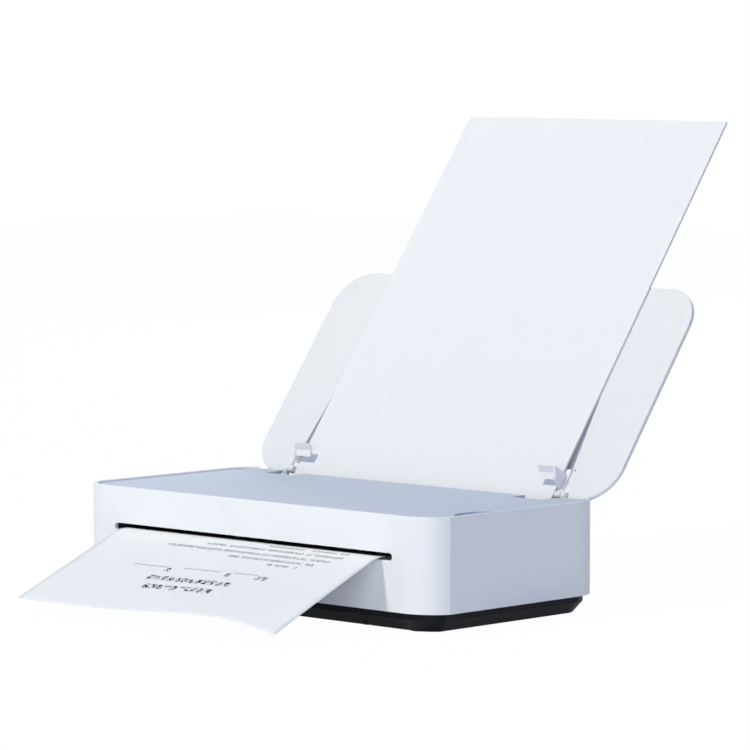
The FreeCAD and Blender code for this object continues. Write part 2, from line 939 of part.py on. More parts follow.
def tooth_outline(module, teeth, phase):
    """Points of a gear's edge: root, pitch and tip of each involute flank."""
    pitch = module * teeth / 2
    base = pitch * math.cos(math.radians(pressure_angle))
    tip = pitch + gear_addendum * module
    root = pitch - gear_dedendum * module
    half = math.pi / (2 * teeth) - gear_backlash / (2 * pitch)

    def involute(radius):
        angle = math.acos(base / max(radius, base))
        return math.tan(angle) - angle

    points = []
    for i in range(teeth):
        middle = phase + 2 * math.pi * i / teeth
        for radius, side in ((root, -1), (pitch, -1), (tip, -1), (tip, 1), (pitch, 1), (root, 1)):
            angle = middle + side * (half + involute(pitch) - involute(radius))
            points.append((radius * math.cos(angle), radius * math.sin(angle)))
    return points


def spur_gear(teeth, phase, at, bore):
    points = [(at[0] + a, at[1] + b) for a, b in tooth_outline(gear_module, teeth, phase)]
    x = (gear_outer - gear_width, gear_outer)
    return side_profile(points, x).cut(rod_x(bore, x, *at))


def meshed_phase(phase, teeth, here, other_teeth, there):
    """Phase of the second gear, so that its gaps meet the first gear's teeth."""
    toward = math.atan2(there[1] - here[1], there[0] - here[0])
    first = gear_module * teeth / 2
    second = gear_module * other_teeth / 2
    shift = (phase - toward) * first + math.pi * gear_module / 2
    return toward + math.pi - shift / second


def save_gears():
    loose = gear_post_radius + running_gap
    feed = 0.0
    idler = meshed_phase(feed, feed_teeth, feed_at, idler_teeth, idler_at)
    last = meshed_phase(idler, idler_teeth, idler_at, feed_teeth, exit_at)
    drive = meshed_phase(feed, feed_teeth, feed_at, pinion_drive_teeth, drive_at)
    first = meshed_phase(feed, feed_teeth, feed_at, idler_teeth, first_at)
    second = meshed_phase(first, idler_teeth, first_at, idler_teeth, second_at)
    pick = meshed_phase(second, idler_teeth, second_at, pick_teeth, pick_at)
    save("feed_gear", spur_gear(feed_teeth, feed, feed_at, shaft_radius))
    save("exit_gear", spur_gear(feed_teeth, last, exit_at, shaft_radius))
    save("pick_gear", spur_gear(pick_teeth, pick, pick_at, shaft_radius))
    save("exit_idler_gear", spur_gear(idler_teeth, idler, idler_at, loose))
    save("first_pick_idler_gear", spur_gear(idler_teeth, first, first_at, loose))
    save("second_pick_idler_gear", spur_gear(idler_teeth, second, second_at, loose))
    shaft = rod_x(gear_post_radius, (gear_outer - gear_width, left_face + motor_socket), *drive_at)
    save("drive_pinion", join([spur_gear(pinion_drive_teeth, drive, drive_at, gear_post_radius / 2), shaft]))
    posts = [rod_x(gear_post_radius, (gear_outer - gear_width, left_face), *at)
             for at in (idler_at, first_at, second_at)]
    save("gear_posts", Part.makeCompound(posts))


def side_plate(x, left):
    front = rail_y - frame_front
    rear = half_depth - frame_rear_set
    step = rod_y - frame_shoulder
    points = [(front, base_step), (rear - frame_corner, base_step), (rear, base_step + frame_corner),
              (rear, frame_top - frame_corner), (rear - frame_corner, frame_top), (step, frame_top),
              (step - frame_slope, frame_low_top), (front, frame_low_top)]
    plate = side_profile(points, (x, x + plate_steel))
    running = shaft_radius + running_gap
    holes = [(rod_radius, (rod_y, rod_z)), (running, feed_at), (running, exit_at)]
    if left:
        holes += [(gear_post_radius, at) for at in (idler_at, first_at, second_at)]
        holes += [(running, pick_at), (gear_post_radius + 4 * running_gap, drive_at)]
    for radius, at in holes:
        plate = plate.cut(rod_x(radius, (x, x + plate_steel), *at))
    return plate


def carriage_rod():
    return rod_x(rod_radius, (left_plate_x, right_plate_x + plate_steel), rod_y, rod_z)


def front_rail():
    web = box((left_face, right_face), (rail_y, rail_y + rail_steel), (rail_low, rail_top))
    flange_y = (rail_y - rail_flange, rail_y + rail_steel)
    return join([web, box((left_face, right_face), flange_y, (rail_low, rail_low + rail_steel))])


def roller_shaft(at):
    """Shaft across the frame with a thrust collar inside each side plate."""
    shaft = rod_x(shaft_radius, (gear_outer - gear_width, right_plate_x + plate_steel), *at)
    left = left_face + collar_gap
    right = right_face - collar_gap
    collars = [rod_x(shaft_radius + collar_rise, x, *at)
               for x in ((left, left + collar_width), (right - collar_width, right))]
    return [shaft] + collars


def feed_roller():
    half = paper_half + roller_over
    return join(roller_shaft(feed_at) + [rod_x(roller_radius, (-half, half), *feed_at)])


def ring_places():
    first = -paper_half + ring_side
    spacing = -2 * first / (ring_count - 1)
    return [first + i * spacing for i in range(ring_count)]


def exit_roller():
    rings = [rod_x(roller_radius, about(x, ring_width), *exit_at) for x in ring_places()]
    return join(roller_shaft(exit_at) + rings)


def pick_roller():
    shaft = rod_x(shaft_radius, (gear_outer - gear_width, pick_half + pick_overhang), *pick_at)
    sleeves = both_sides(rod_x(pick_radius, (pick_split, pick_half), *pick_at))
    left = left_face + collar_gap
    collar = rod_x(shaft_radius + collar_rise, (left, left + collar_width), *pick_at)
    return join([shaft, collar] + sleeves)


def pinch_places():
    first = -paper_half + pinch_side
    spacing = -2 * first / (pinch_count - 1)
    return [first + i * spacing for i in range(pinch_count)]


def pinch_rollers():
    groups = []
    inner = pinch_finger / 2 + pinch_finger_gap
    for x in pinch_places():
        axle = rod_x(pinch_axle, (x - pinch_reach, x + pinch_reach), feed_y, pinch_z)
        wheels = [rod_x(pinch_radius, span, feed_y, pinch_z)
                  for span in ((x - pinch_reach, x - inner), (x + inner, x + pinch_reach))]
        groups.append(join([axle] + wheels))
    return Part.makeCompound(groups)


def pinch_bar():
    """Bar behind the carriage rod: a finger holds each pinch axle, an eye the pick shaft."""
    bar_y = (feed_y + pinch_bar_behind, feed_y + pinch_bar_behind + pinch_bar_deep)
    bar_z = (feed_z + pinch_bar_rise, feed_z + pinch_bar_rise + pinch_bar_high)
    centre = (sum(bar_y) / 2, sum(bar_z) / 2)
    pieces = [box((left_face, right_face), bar_y, bar_z)]
    for x in pinch_places():
        span = about(x, pinch_finger)
        pieces.append(rod_x(pinch_eye, span, feed_y, pinch_z))
        pieces.append(strut((feed_y, pinch_z), centre, pinch_finger_thick, span))
    hold = (pick_hold_x, pick_hold_x + pick_hold_wide)
    pieces.append(strut(centre, pick_at, pinch_bar_deep, hold))
    pieces.append(rod_x(pick_eye_radius, hold, *pick_at))
    bar = join(pieces)
    bar = bar.cut(rod_x(shaft_radius + running_gap, hold, *pick_at))
    for x in pinch_places():
        bar = bar.cut(rod_x(pinch_axle + running_gap, about(x, pinch_finger), feed_y, pinch_z))
    return bar


def star_wheels():
    points = []
    for i in range(2 * star_teeth):
        radius = star_radius if i % 2 == 0 else star_radius * star_root
        angle = math.pi * i / star_teeth
        points.append((exit_y + radius * math.cos(angle), star_z + radius * math.sin(angle)))
    wheels = [side_profile(points, about(x + offset, star_thick))
              for x in ring_places() for offset in (-star_offset, star_offset)]
    half = ring_places()[-1] + ring_width
    return join([rod_x(star_axle, (-half, half), exit_y, star_z)] + wheels)


def star_wheel_bar():
    low = star_z + star_radius + star_bar_gap
    bar_y = about(exit_y, 2 * star_bar_half)
    bar = box((left_face, right_face), bar_y, (low, low + star_bar_thick))
    places = ring_places()
    between = [(a + b) / 2 for a, b in zip(places, places[1:])]
    ends = [places[0] - ring_width, places[-1] + ring_width]
    hanger_z = (star_z - star_axle - star_hanger_below, low + joint_sink)
    hanger_y = about(exit_y, star_hanger_deep)
    hangers = [box(about(x, star_hanger_width), hanger_y, hanger_z) for x in between + ends]
    half = ends[1] + side_gap
    return join([bar] + hangers).cut(rod_x(star_axle + running_gap, (-half, half), exit_y, star_z))


def platen():
    deck = box((left_face, platen_right), (platen_front, platen_rear), (platen_low, platen_deck))
    hollow_x = (left_face + platen_end, platen_right - platen_end)
    hollow_y = (platen_front + platen_wall, platen_rear - platen_wall)
    deck = deck.cut(box(hollow_x, hollow_y, (platen_low, platen_deck - platen_wall)))
    trough_y = (platen_front + trough_front, platen_rear - trough_rear)
    trough_z = (platen_deck - trough_depth, platen_rib_top)
    deck = deck.cut(box((-chute_wide, platen_right - trough_end), trough_y, trough_z))
    spacing = paper_width / (rib_count - 1)
    ribs = []
    for i in range(rib_count):
        x = about(-paper_half + i * spacing, rib_width)
        for y in ((platen_front, trough_y[0] - rib_gap), (trough_y[1] + rib_gap, platen_rear)):
            ribs.append(box(x, y, (platen_deck - joint_sink, platen_rib_top)))
    return join([deck] + ribs)


def ink_absorber():
    x = (-chute_wide + absorber_gap, platen_right - trough_end - absorber_gap)
    y = (platen_front + trough_front + absorber_gap, platen_rear - trough_rear - absorber_gap)
    return box(x, y, (platen_deck - trough_depth, platen_deck + absorber_rise))


def on_sheet(y, below):
    """Height of the sheet's path at y, less a distance."""
    return nip_z + (exit_y - y) * math.tan(sheet_rise) - below


def under_sheet(y, above, below):
    """Polygon that follows the sheet's path between two places in Y, at two depths under it."""
    return [(y[0], on_sheet(y[0], above)), (y[1], on_sheet(y[1], above)),
            (y[1], on_sheet(y[1], below)), (y[0], on_sheet(y[0], below))]


def exit_guide():
    gap = exit_guide_gap
    span = (-slot_half - exit_guide_over, slot_half + exit_guide_over)
    ramp_y = (exit_y - exit_guide_behind, front_in)
    pieces = [side_profile(under_sheet(ramp_y, gap, gap + exit_guide_thick), span)]
    roof_y = (front_in, rail_y - exit_roof_set)
    roof_low = slot_top + exit_roof_gap
    pieces.append(box(span, roof_y, (roof_low, roof_low + exit_roof_thick)))
    within = gap + exit_guide_thick / 2
    cheek = [(roof_y[1], on_sheet(roof_y[1], within)), (front_in, on_sheet(front_in, within)),
             (front_in, roof_low + joint_sink), (roof_y[1], roof_low + joint_sink)]
    for sign in (-1, 1):
        outer = slot_half + exit_guide_over
        pieces.append(side_profile(cheek, on_side(sign, outer - exit_cheek_thick, outer)))
    leg_front = -half_depth + exit_leg_set
    leg_rear = leg_front + exit_leg_length
    leg = [(leg_rear, base_floor), (leg_rear, on_sheet(leg_rear, within)),
           (leg_front, on_sheet(leg_front, within)), (leg_front, base_floor)]
    for x in (exit_leg_in - slot_half, 0, slot_half - exit_leg_in):
        pieces.append(side_profile(leg, about(x, leg_thick)))
    return join(pieces)


def paper_chute():
    face = stack_thick + chute_gap
    foot = -paper_tail - chute_gap
    bend = paper_point(foot, face)
    low = (feed_y + chute_low_behind, feed_z + chute_low_rise)
    slab_points = [paper_point(-chute_top_set, face), bend, low, (low[0] + chute_lip, low[1] - chute_wall),
                   paper_point(foot + chute_lip, face + chute_wall),
                   paper_point(-chute_top_set, face + chute_wall)]
    slab = side_profile(slab_points, (-chute_wide, chute_wide))
    for sign in (-1, 1):
        corner_x_span = on_side(sign, paper_half - chute_narrow, wide)
        slab = slab.cut(box(corner_x_span, (0, deep), (chute_shoulder_z, rim_top)))
    ledge_half = paper_half - ledge_in
    ledge_points = [bend, paper_point(foot, ledge_gap), paper_point(foot - ledge_thick, ledge_gap),
                    paper_point(foot - ledge_thick - ledge_slope, face + chute_wall / 2)]
    ledge = side_profile(ledge_points, (-ledge_half, ledge_half))
    lower_slope = (bend[1] - low[1]) / (bend[0] - low[0])
    front = feed_y + chute_leg_front
    rear = feed_y + chute_leg_rear
    sink = chute_wall * 2 / 3
    leg = [(front, base_floor), (rear, base_floor),
           (rear, bend[1] + (rear - bend[0]) * math.tan(tilt) - sink),
           (bend[0], bend[1] - sink), (front, low[1] + (front - low[0]) * lower_slope - sink)]
    legs = [side_profile(leg, about(sign * x, leg_thick))
            for x in (ledge_half / 2, ledge_half - leg_thick) for sign in (-1, 1)]
    return join([slab, ledge] + legs)


def belt_clip():
    """Arm from the carriage over the rail, with jaws round the belt's rear run."""
    x = (carriage_x - carriage_half, carriage_x - carriage_half + belt_clip_width)
    run_y = belt_y + belt_radius
    low = rail_top + slide_gap
    front = run_y - belt_clip_ahead
    arm = box(x, (front, rail_y), (low, belt_low - belt_gap))
    jaws = box(x, (front, front + belt_clip_deep), (low, belt_high + belt_clip_rise))
    space = box(x, grown((run_y, run_y + belt_thick), belt_gap), grown((belt_low, belt_high), belt_gap))
    return [arm, jaws.cut(space)]


def carriage():
    x = about(carriage_x, 2 * carriage_half)
    pocket_x = grown(x, -carriage_wall)
    body = box(x, (carriage_front, carriage_rear), (carriage_floor, carriage_top))
    nose = box(x, (snout_front, snout_rear), (snout_bottom, carriage_floor + joint_sink))
    bushing = rod_x(bushing_radius, x, rod_y, rod_z)
    web = box(x, (carriage_rear - joint_sink, rod_y), (carriage_floor, rod_z + carriage_web_rise))
    skid_y = (rail_y - skid_ahead, carriage_front + joint_sink)
    skid = box(x, skid_y, (rail_top + slide_gap, rail_top + skid_thick))
    shell = join([body, nose, bushing, web, skid] + belt_clip())
    pocket_y = grown((carriage_front, carriage_rear), -carriage_wall)
    shell = shell.cut(box(pocket_x, pocket_y, (carriage_floor + carriage_wall, carriage_top)))
    snout_y = grown((snout_front, snout_rear), -carriage_wall)
    shell = shell.cut(box(pocket_x, snout_y, (snout_bottom, carriage_top)))
    divider_z = (snout_bottom, carriage_top - carriage_divider_drop)
    divider = box(about(carriage_x, carriage_wall), (carriage_front, carriage_rear), divider_z)
    shell = join([shell, divider.common(join([body, nose]))])
    return shell.cut(rod_x(rod_radius + running_gap, x, rod_y, rod_z))


def cartridge(side):
    inner = carriage_wall / 2 + cartridge_gap
    outer = carriage_half - carriage_wall - cartridge_gap
    x = sorted((carriage_x + side * inner, carriage_x + side * outer))
    y = grown((carriage_front, carriage_rear), -carriage_wall - cartridge_gap)
    floor = carriage_floor + carriage_wall
    tank = box(x, y, (floor, cartridge_top))
    tank = tank.makeFillet(cartridge_round, top_edges(tank))
    nose_y = grown((snout_front, snout_rear), -carriage_wall - cartridge_gap)
    nose = box(x, nose_y, (nozzle_z + nozzle_thick, floor + joint_sink))
    head_x = grown(x, -nozzle_set)
    head = box(head_x, grown(nose_y, -nozzle_set), (nozzle_z, nozzle_z + 2 * nozzle_thick))
    grip_y = (y[0] + nozzle_set, y[0] + nozzle_set + grip_length)
    grip = box(head_x, grip_y, (cartridge_top - joint_sink, cartridge_top + grip_rise))
    return join([tank, nose, head, grip])


def drive_belt():
    def loop(radius):
        ends = [rod_z_axis(radius, x, belt_y, (belt_low, belt_high)) for x in (belt_idler_x, belt_motor_x)]
        run = box((belt_idler_x, belt_motor_x), about(belt_y, 2 * radius), (belt_low, belt_high))
        return join([run] + ends)

    return loop(belt_radius + belt_thick).cut(loop(belt_radius))


def pulley(x):
    low, high = grown((belt_low, belt_high), belt_gap + pulley_flange)
    drum = rod_z_axis(belt_radius - 2 * running_gap, x, belt_y, (low, high))
    flange_radius = belt_radius + belt_thick + pulley_rise
    flanges = [rod_z_axis(flange_radius, x, belt_y, span)
               for span in ((low, low + pulley_flange), (high - pulley_flange, high))]
    return join([drum] + flanges)


def motor_pulley():
    shaft = rod_z_axis(motor_shaft, belt_motor_x, belt_y, (motor_high - motor_socket, belt_high + shaft_over))
    return join([pulley(belt_motor_x), shaft])


def idler_pulley():
    hole = rod_z_axis(motor_shaft + running_gap, belt_idler_x, belt_y, (0, rim_top))
    return pulley(belt_idler_x).cut(hole)


def under_pulley():
    return belt_low - 2 * belt_gap - pulley_flange


def carriage_motor():
    can = rod_z_axis(motor_radius, belt_motor_x, belt_y, (motor_low, motor_high))
    can = can.makeFillet(motor_round, top_edges(can))
    collar = rod_z_axis(motor_collar, belt_motor_x, belt_y, (motor_high - joint_sink, under_pulley()))
    hole_z = (motor_high - motor_socket - cut_over, rim_top)
    return join([can, collar]).cut(rod_z_axis(motor_shaft + running_gap, belt_motor_x, belt_y, hole_z))


def idler_bracket():
    block_x = (belt_idler_x - idler_neck, belt_idler_x + 2 * motor_post_radius)
    block = box(block_x, about(belt_y, 2 * idler_foot_half), (motor_low, motor_low + idler_foot))
    neck = rod_z_axis(idler_neck, belt_idler_x, belt_y, (motor_low, under_pulley()))
    shaft = rod_z_axis(motor_shaft, belt_idler_x, belt_y, (motor_low, belt_high + shaft_over))
    return join([block, neck, shaft])


def encoder_strip():
    start = rod_y - strip_ahead
    return box((left_face, right_face), (start, start + strip_thick), (strip_low, strip_high))


def feed_motor():
    can = rod_x(feed_motor_radius, (left_face, left_face + feed_motor_length), *drive_at)
    inner = [edge for edge in can.Edges if edge.BoundBox.XMin > left_face + motor_round]
    can = can.makeFillet(motor_round, inner)
    socket_x = (left_face, left_face + motor_socket + cut_over)
    return can.cut(rod_x(gear_post_radius + running_gap, socket_x, *drive_at))


def service_station():
    x = (platen_right, right_face)
    y = (exit_y + station_front, feed_y - station_rear)
    body = box(x, y, (station_low, station_top))
    inside_x = grown(x, -station_wall)
    hollow_y = (y[0] + station_wall, y[1] - station_rear_wall)
    hollow = box(inside_x, hollow_y, (station_top - station_depth, station_top))
    rail_z = (station_top - station_rail, station_top)
    guides = [box(inside_x, (y[0] + joint_sink, hollow_y[0] + station_wall), rail_z),
              box(inside_x, (hollow_y[1] - joint_sink, y[1] - joint_sink), rail_z)]
    lower = body.common(plan_block(base_step_inset, (0, base_step)))
    upper = body.common(box(x, y, (base_step, station_top)))
    return join([lower, upper.cut(hollow)] + guides)


def sled_span():
    front = exit_y + station_front + 2 * station_wall + sled_front
    return front, feed_y - station_rear - station_rear_wall - sled_rear + joint_sink


def cap_sled():
    x = grown((platen_right, right_face), -sled_side)
    y = sled_span()
    stem_z = (station_top - sled_stem_deep, sled_low + joint_sink)
    stem = box(grown(x, -sled_stem_set), grown(y, -sled_stem_end), stem_z)
    return join([box(x, y, (sled_low, sled_top)), stem])


def nozzle_caps():
    caps = []
    y = grown((snout_front, snout_rear), -cap_end)
    for side in (-1, 1):
        x = about(carriage_x + side * carriage_half / 2, 2 * cap_half)
        hollow = box(grown(x, -cap_wall), grown(y, -cap_wall), (sled_top + cap_floor, cap_top))
        caps.append(box(x, y, (sled_top, cap_top)).cut(hollow))
    return Part.makeCompound(caps)


def electronics_span():
    return -half_depth + electronics_set, exit_y - electronics_gap


def main_board():
    x = (-half_width + main_board_side_set, -main_board_middle)
    y = electronics_span()
    low = base_floor + main_board_rise
    top = low + board_thick
    pieces = [box(x, y, (low, top))]
    chip_x = about(sum(x) / 2, chip_size)
    pieces.append(box(chip_x, about(sum(y) / 2, chip_size), (top - chip_sink, top + chip_high)))
    rear_y = (y[1] - socket_wide - chip_sink, y[1] - chip_sink)
    pieces.append(box((x[1] - 2 * socket_wide - socket_long, x[1] - 2 * socket_wide), rear_y,
                      (top - chip_sink, top + socket_high)))
    side_x = (x[0] + chip_sink, x[0] + chip_sink + socket_wide)
    pieces.append(box(side_x, about(sum(y) / 2, socket_long), (top - chip_sink, top + socket_high)))
    legs = [rod_z_axis(main_board_leg, a, b, (base_floor, low + chip_sink))
            for a in grown(x, -main_board_leg_set) for b in grown(y, -main_board_leg_set)]
    return join(pieces + legs)


def power_supply():
    x = (supply_middle, half_width - supply_side_set)
    y = electronics_span()
    top = base_floor + supply_high
    case = box(x, y, (base_floor, top))
    case = case.makeChamfer(supply_bevel, top_edges(case))
    pitch = (x[1] - x[0]) / (slit_count + 1)
    for i in range(slit_count):
        slit_x = about(x[0] + (i + 1) * pitch, slit_width)
        case = case.cut(box(slit_x, grown(y, -slit_end), (top - slit_depth, top)))
    return case


def power_inlet():
    x = about(inlet_x, 2 * inlet_half - 2 * button_gap)
    z = about(inlet_z, inlet_height - 2 * button_gap)
    start = half_depth - inlet_depth
    body = box(x, (start, half_depth), z)
    flange = box(grown(x, inlet_flange), (rear_in - inlet_flange, rear_in), grown(z, inlet_flange))
    socket = box(grown(x, -inlet_wall), (start + inlet_back, half_depth), grown(z, -inlet_wall))
    pin_y = (start - inlet_pin_tail, half_depth - inlet_pin_set)
    pins = [rod_y_axis(inlet_pin_radius, pin_x, pin_y, inlet_z) for pin_x in about(inlet_x, inlet_pin_pitch)]
    return join([body.fuse(flange).cut(socket)] + pins)


def rear_button(x):
    start = rear_in - button_flange
    cap = rod_y_axis(button_radius, x, (start, half_depth + button_proud), button_z)
    cap = cap.makeFillet(button_round, [edge for edge in cap.Edges if edge.BoundBox.YMin > half_depth])
    flange_radius = button_radius + button_gap + button_flange_rise
    flange = rod_y_axis(flange_radius, x, (start, rear_in - button_gap), button_z)
    stem_start = button_board_y + board_thick + switch_high + switch_gap + button_travel
    stem = rod_y_axis(button_stem, x, (stem_start, start + button_gap), button_z)
    return join([cap, flange, stem])


def button_board():
    x = (power_button_x - button_board_side, wireless_button_x + button_board_side)
    back = button_board_y + board_thick
    board = box(x, (button_board_y, back), (button_z - button_board_below, button_z + button_board_above))
    switches = [box(about(middle, 2 * switch_half), (back - chip_sink, back + switch_high),
                    about(button_z, 2 * switch_half)) for middle in (power_button_x, wireless_button_x)]
    return join([board] + switches)


def paper_stack():
    u = (-paper_tail, paper_length - paper_tail)
    return in_lid(box((-paper_half, paper_half), u, (slide_gap, stack_front)))


def sheet_side(offset):
    """One face of the sheet: up the ramp, over the slot's lip in an arc, down to the front edge."""
    fall = math.radians(sheet_fall)
    bend_z = on_sheet(sheet_bend_y, 0)
    centre_y = sheet_bend_y - sheet_bend_radius * math.sin(sheet_rise)
    centre_z = bend_z - sheet_bend_radius * math.cos(sheet_rise)
    radius = sheet_bend_radius + offset

    def on_arc(angle):
        return V(-paper_half, centre_y + radius * math.sin(angle), centre_z + radius * math.cos(angle))

    start = V(-paper_half, sheet_back_y + offset * math.sin(sheet_rise),
              on_sheet(sheet_back_y, 0) + offset * math.cos(sheet_rise))
    turned = on_arc(-fall)
    end = V(-paper_half, sheet_front_y, turned.z - (turned.y - sheet_front_y) * math.tan(fall))
    bend = Part.Arc(on_arc(sheet_rise), on_arc((sheet_rise - fall) / 2), turned).toShape()
    edges = [Part.makeLine(start, on_arc(sheet_rise)), bend, Part.makeLine(turned, end)]
    return edges, start, end


def printed_sheet():
    above, above_start, above_end = sheet_side(sheet_thick / 2)
    below, below_start, below_end = sheet_side(-sheet_thick / 2)
    ends = [Part.makeLine(above_end, below_end), Part.makeLine(below_start, above_start)]
    wire = Part.Wire(Part.__sortEdges__(above + below + ends))
    return Part.Face(wire).extrude(V(paper_width, 0, 0))


def build():
    os.makedirs("parts", exist_ok=True)
    save("base_tray", base_tray())
    save("rubber_feet", rubber_feet())
    save("case_screws", case_screws())
    save("front_panel", front_panel())
    save("rear_shell", rear_shell())
    save("top_plate", top_plate())
    save("lid", lid())
    save("lid_pins", lid_pins())
    save("right_guide", paper_guide(1))
    save("left_guide", paper_guide(-1))
    save("guide_pinion", guide_pinion())
    save("paper_stack", paper_stack())
    save("printed_sheet", printed_sheet())
    save("left_side_plate", side_plate(left_plate_x, True))
    save("right_side_plate", side_plate(right_plate_x, False))
    save("carriage_rod", carriage_rod())
    save("front_rail", front_rail())
    save_gears()
    save("feed_roller", feed_roller())
    save("exit_roller", exit_roller())
    save("pick_roller", pick_roller())
    save("pinch_rollers", pinch_rollers())
    save("pinch_bar", pinch_bar())
    save("star_wheels", star_wheels())
    save("star_wheel_bar", star_wheel_bar())
    save("platen", platen())
    save("ink_absorber", ink_absorber())
    save("exit_guide", exit_guide())
    save("paper_chute", paper_chute())
    save("carriage", carriage())
    save("black_cartridge", cartridge(-1))
    save("colour_cartridge", cartridge(1))
    save("drive_belt", drive_belt())
    save("motor_pulley", motor_pulley())
    save("idler_pulley", idler_pulley())
    save("carriage_motor", carriage_motor())
    save("idler_bracket", idler_bracket())
    save("encoder_strip", encoder_strip())
    save("feed_motor", feed_motor())
    save("service_station", service_station())
    save("cap_sled", cap_sled())
    save("nozzle_caps", nozzle_caps())
    save("main_board", main_board())
    save("power_supply", power_supply())
    save("power_inlet", power_inlet())
    save("power_button", rear_button(power_button_x))
    save("wireless_button", rear_button(wireless_button_x))
    save("button_board", button_board())


build()
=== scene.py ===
# %% [markdown]
# # A compact inkjet printer in the studio
# The machine is a low white box on a black foot. Its lid is folded back to hold paper, and a printed
# sheet is coming out of the slot in front. All rigid parts come from the engineering model, so this
# lesson only adds what that model can't hold: finishes, loose paper, print, light and a camera.

# %% Load the engineering model
import json
import math
import bpy
import bmesh
from mathutils import Matrix, Vector


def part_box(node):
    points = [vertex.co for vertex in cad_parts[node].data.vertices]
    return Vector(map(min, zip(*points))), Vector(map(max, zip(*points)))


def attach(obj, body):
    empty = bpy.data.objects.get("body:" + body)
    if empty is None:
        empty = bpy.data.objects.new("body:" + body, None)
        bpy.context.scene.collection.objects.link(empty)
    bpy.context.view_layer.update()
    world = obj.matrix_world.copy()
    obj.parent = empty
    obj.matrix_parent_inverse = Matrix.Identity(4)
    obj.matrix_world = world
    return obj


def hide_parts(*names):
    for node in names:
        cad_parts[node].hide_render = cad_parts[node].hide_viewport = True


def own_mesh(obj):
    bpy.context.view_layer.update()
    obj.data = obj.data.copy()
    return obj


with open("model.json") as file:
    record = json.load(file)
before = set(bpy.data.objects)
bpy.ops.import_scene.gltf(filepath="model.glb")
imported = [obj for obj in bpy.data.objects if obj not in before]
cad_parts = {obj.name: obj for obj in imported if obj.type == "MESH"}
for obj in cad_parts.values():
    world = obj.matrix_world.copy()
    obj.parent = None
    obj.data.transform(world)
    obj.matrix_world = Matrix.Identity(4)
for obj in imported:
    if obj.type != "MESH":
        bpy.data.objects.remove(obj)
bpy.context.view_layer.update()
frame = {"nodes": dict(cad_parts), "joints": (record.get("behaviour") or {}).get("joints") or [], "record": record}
parts = frame["nodes"]
for leftover in ("Cube", "Light", "Camera"):
    if leftover in bpy.data.objects and leftover not in parts:
        bpy.data.objects.remove(bpy.data.objects[leftover])
MM = 0.001

# %% [markdown]
# ## Shared surface effects
# Moulded plastic is never perfectly even. Its tool leaves a fine grain, and the colour and gloss drift a
# little over a hand's width. Both could be painted, but noise made by nodes has no seams and no
# resolution. More than one finish needs the effect, so it is a node group with named sockets, built
# once.

# %% A helper for shader groups
def shader_group(name, inputs, outputs):
    tree = bpy.data.node_groups.new(name, "ShaderNodeTree")
    for label, value in inputs.items():
        socket = tree.interface.new_socket(name=label, in_out="INPUT", socket_type="NodeSocketFloat")
        socket.default_value = value
    for label in outputs:
        tree.interface.new_socket(name=label, in_out="OUTPUT", socket_type="NodeSocketFloat")
    start = tree.nodes.new("NodeGroupInput")
    end = tree.nodes.new("NodeGroupOutput")
    return tree, start, end


print("helper ready:", shader_group.__name__)

# %% Helpers for noise and ranges
def noise(tree, vector, scale, detail, roughness=0.5):
    node = tree.nodes.new("ShaderNodeTexNoise")
    node.inputs["Detail"].default_value = detail
    node.inputs["Roughness"].default_value = roughness
    tree.links.new(vector, node.inputs["Vector"])
    tree.links.new(scale, node.inputs["Scale"])
    return node.outputs["Fac"]


def remap(tree, value, low, high, to_low, to_high):
    node = tree.nodes.new("ShaderNodeMapRange")
    node.inputs["From Min"].default_value = low
    node.inputs["From Max"].default_value = high
    node.inputs["To Min"].default_value = to_low
    node.inputs["To Max"].default_value = to_high
    tree.links.new(value, node.inputs["Value"])
    return node.outputs["Result"]


print("helpers ready:", noise.__name__, remap.__name__)

# %% The moulded grain group
GRAIN_SCALE = 2600.0
DRIFT_SCALE = 14.0
DRIFT_RANGE = (0.3, 0.7)
grain_tree, grain_in, grain_out = shader_group(
    "moulded_grain", {"Grain Scale": GRAIN_SCALE, "Drift Scale": DRIFT_SCALE}, ["Height", "Drift"])
place = grain_tree.nodes.new("ShaderNodeTexCoord").outputs["Object"]
height = noise(grain_tree, place, grain_in.outputs["Grain Scale"], detail=2.0)
drift = noise(grain_tree, place, grain_in.outputs["Drift Scale"], detail=4.0, roughness=0.6)
grain_tree.links.new(height, grain_out.inputs["Height"])
grain_tree.links.new(remap(grain_tree, drift, *DRIFT_RANGE, 0.0, 1.0), grain_out.inputs["Drift"])
print("group:", grain_tree.name, "with", len(grain_tree.nodes), "nodes")

# %% [markdown]
# Drawn and rolled metal has fine lines along one direction. An image of brushed steel would need a UV
# map on every part. The second group stretches its noise along the printer's width instead, because the
# rods and rails run that way, and so it fits any part as it is.

# %% The drawn metal group
LINE_SCALE = 900.0
LINE_STRETCH = 0.02
STREAK_RANGE = (0.35, 0.65)
drawn_tree, drawn_in, drawn_out = shader_group(
    "drawn_lines", {"Line Scale": LINE_SCALE}, ["Height", "Streak"])
place = drawn_tree.nodes.new("ShaderNodeTexCoord").outputs["Object"]
stretch = drawn_tree.nodes.new("ShaderNodeMapping")
stretch.inputs["Scale"].default_value = (LINE_STRETCH, 1.0, 1.0)
drawn_tree.links.new(place, stretch.inputs["Vector"])
lines = noise(drawn_tree, stretch.outputs["Vector"], drawn_in.outputs["Line Scale"], detail=3.0)
drawn_tree.links.new(lines, drawn_out.inputs["Height"])
drawn_tree.links.new(remap(drawn_tree, lines, *STREAK_RANGE, 0.0, 1.0), drawn_out.inputs["Streak"])
print("group:", drawn_tree.name, "with", len(drawn_tree.nodes), "nodes")

# %% [markdown]
# ## Finishes
# Each finish starts from one helper: a colour that drifts between two close tones, a roughness that
# drifts with it, and a bump from the grain. A flat colour would look like paint from a bucket; the drift
# is small enough that nobody sees it as a pattern.

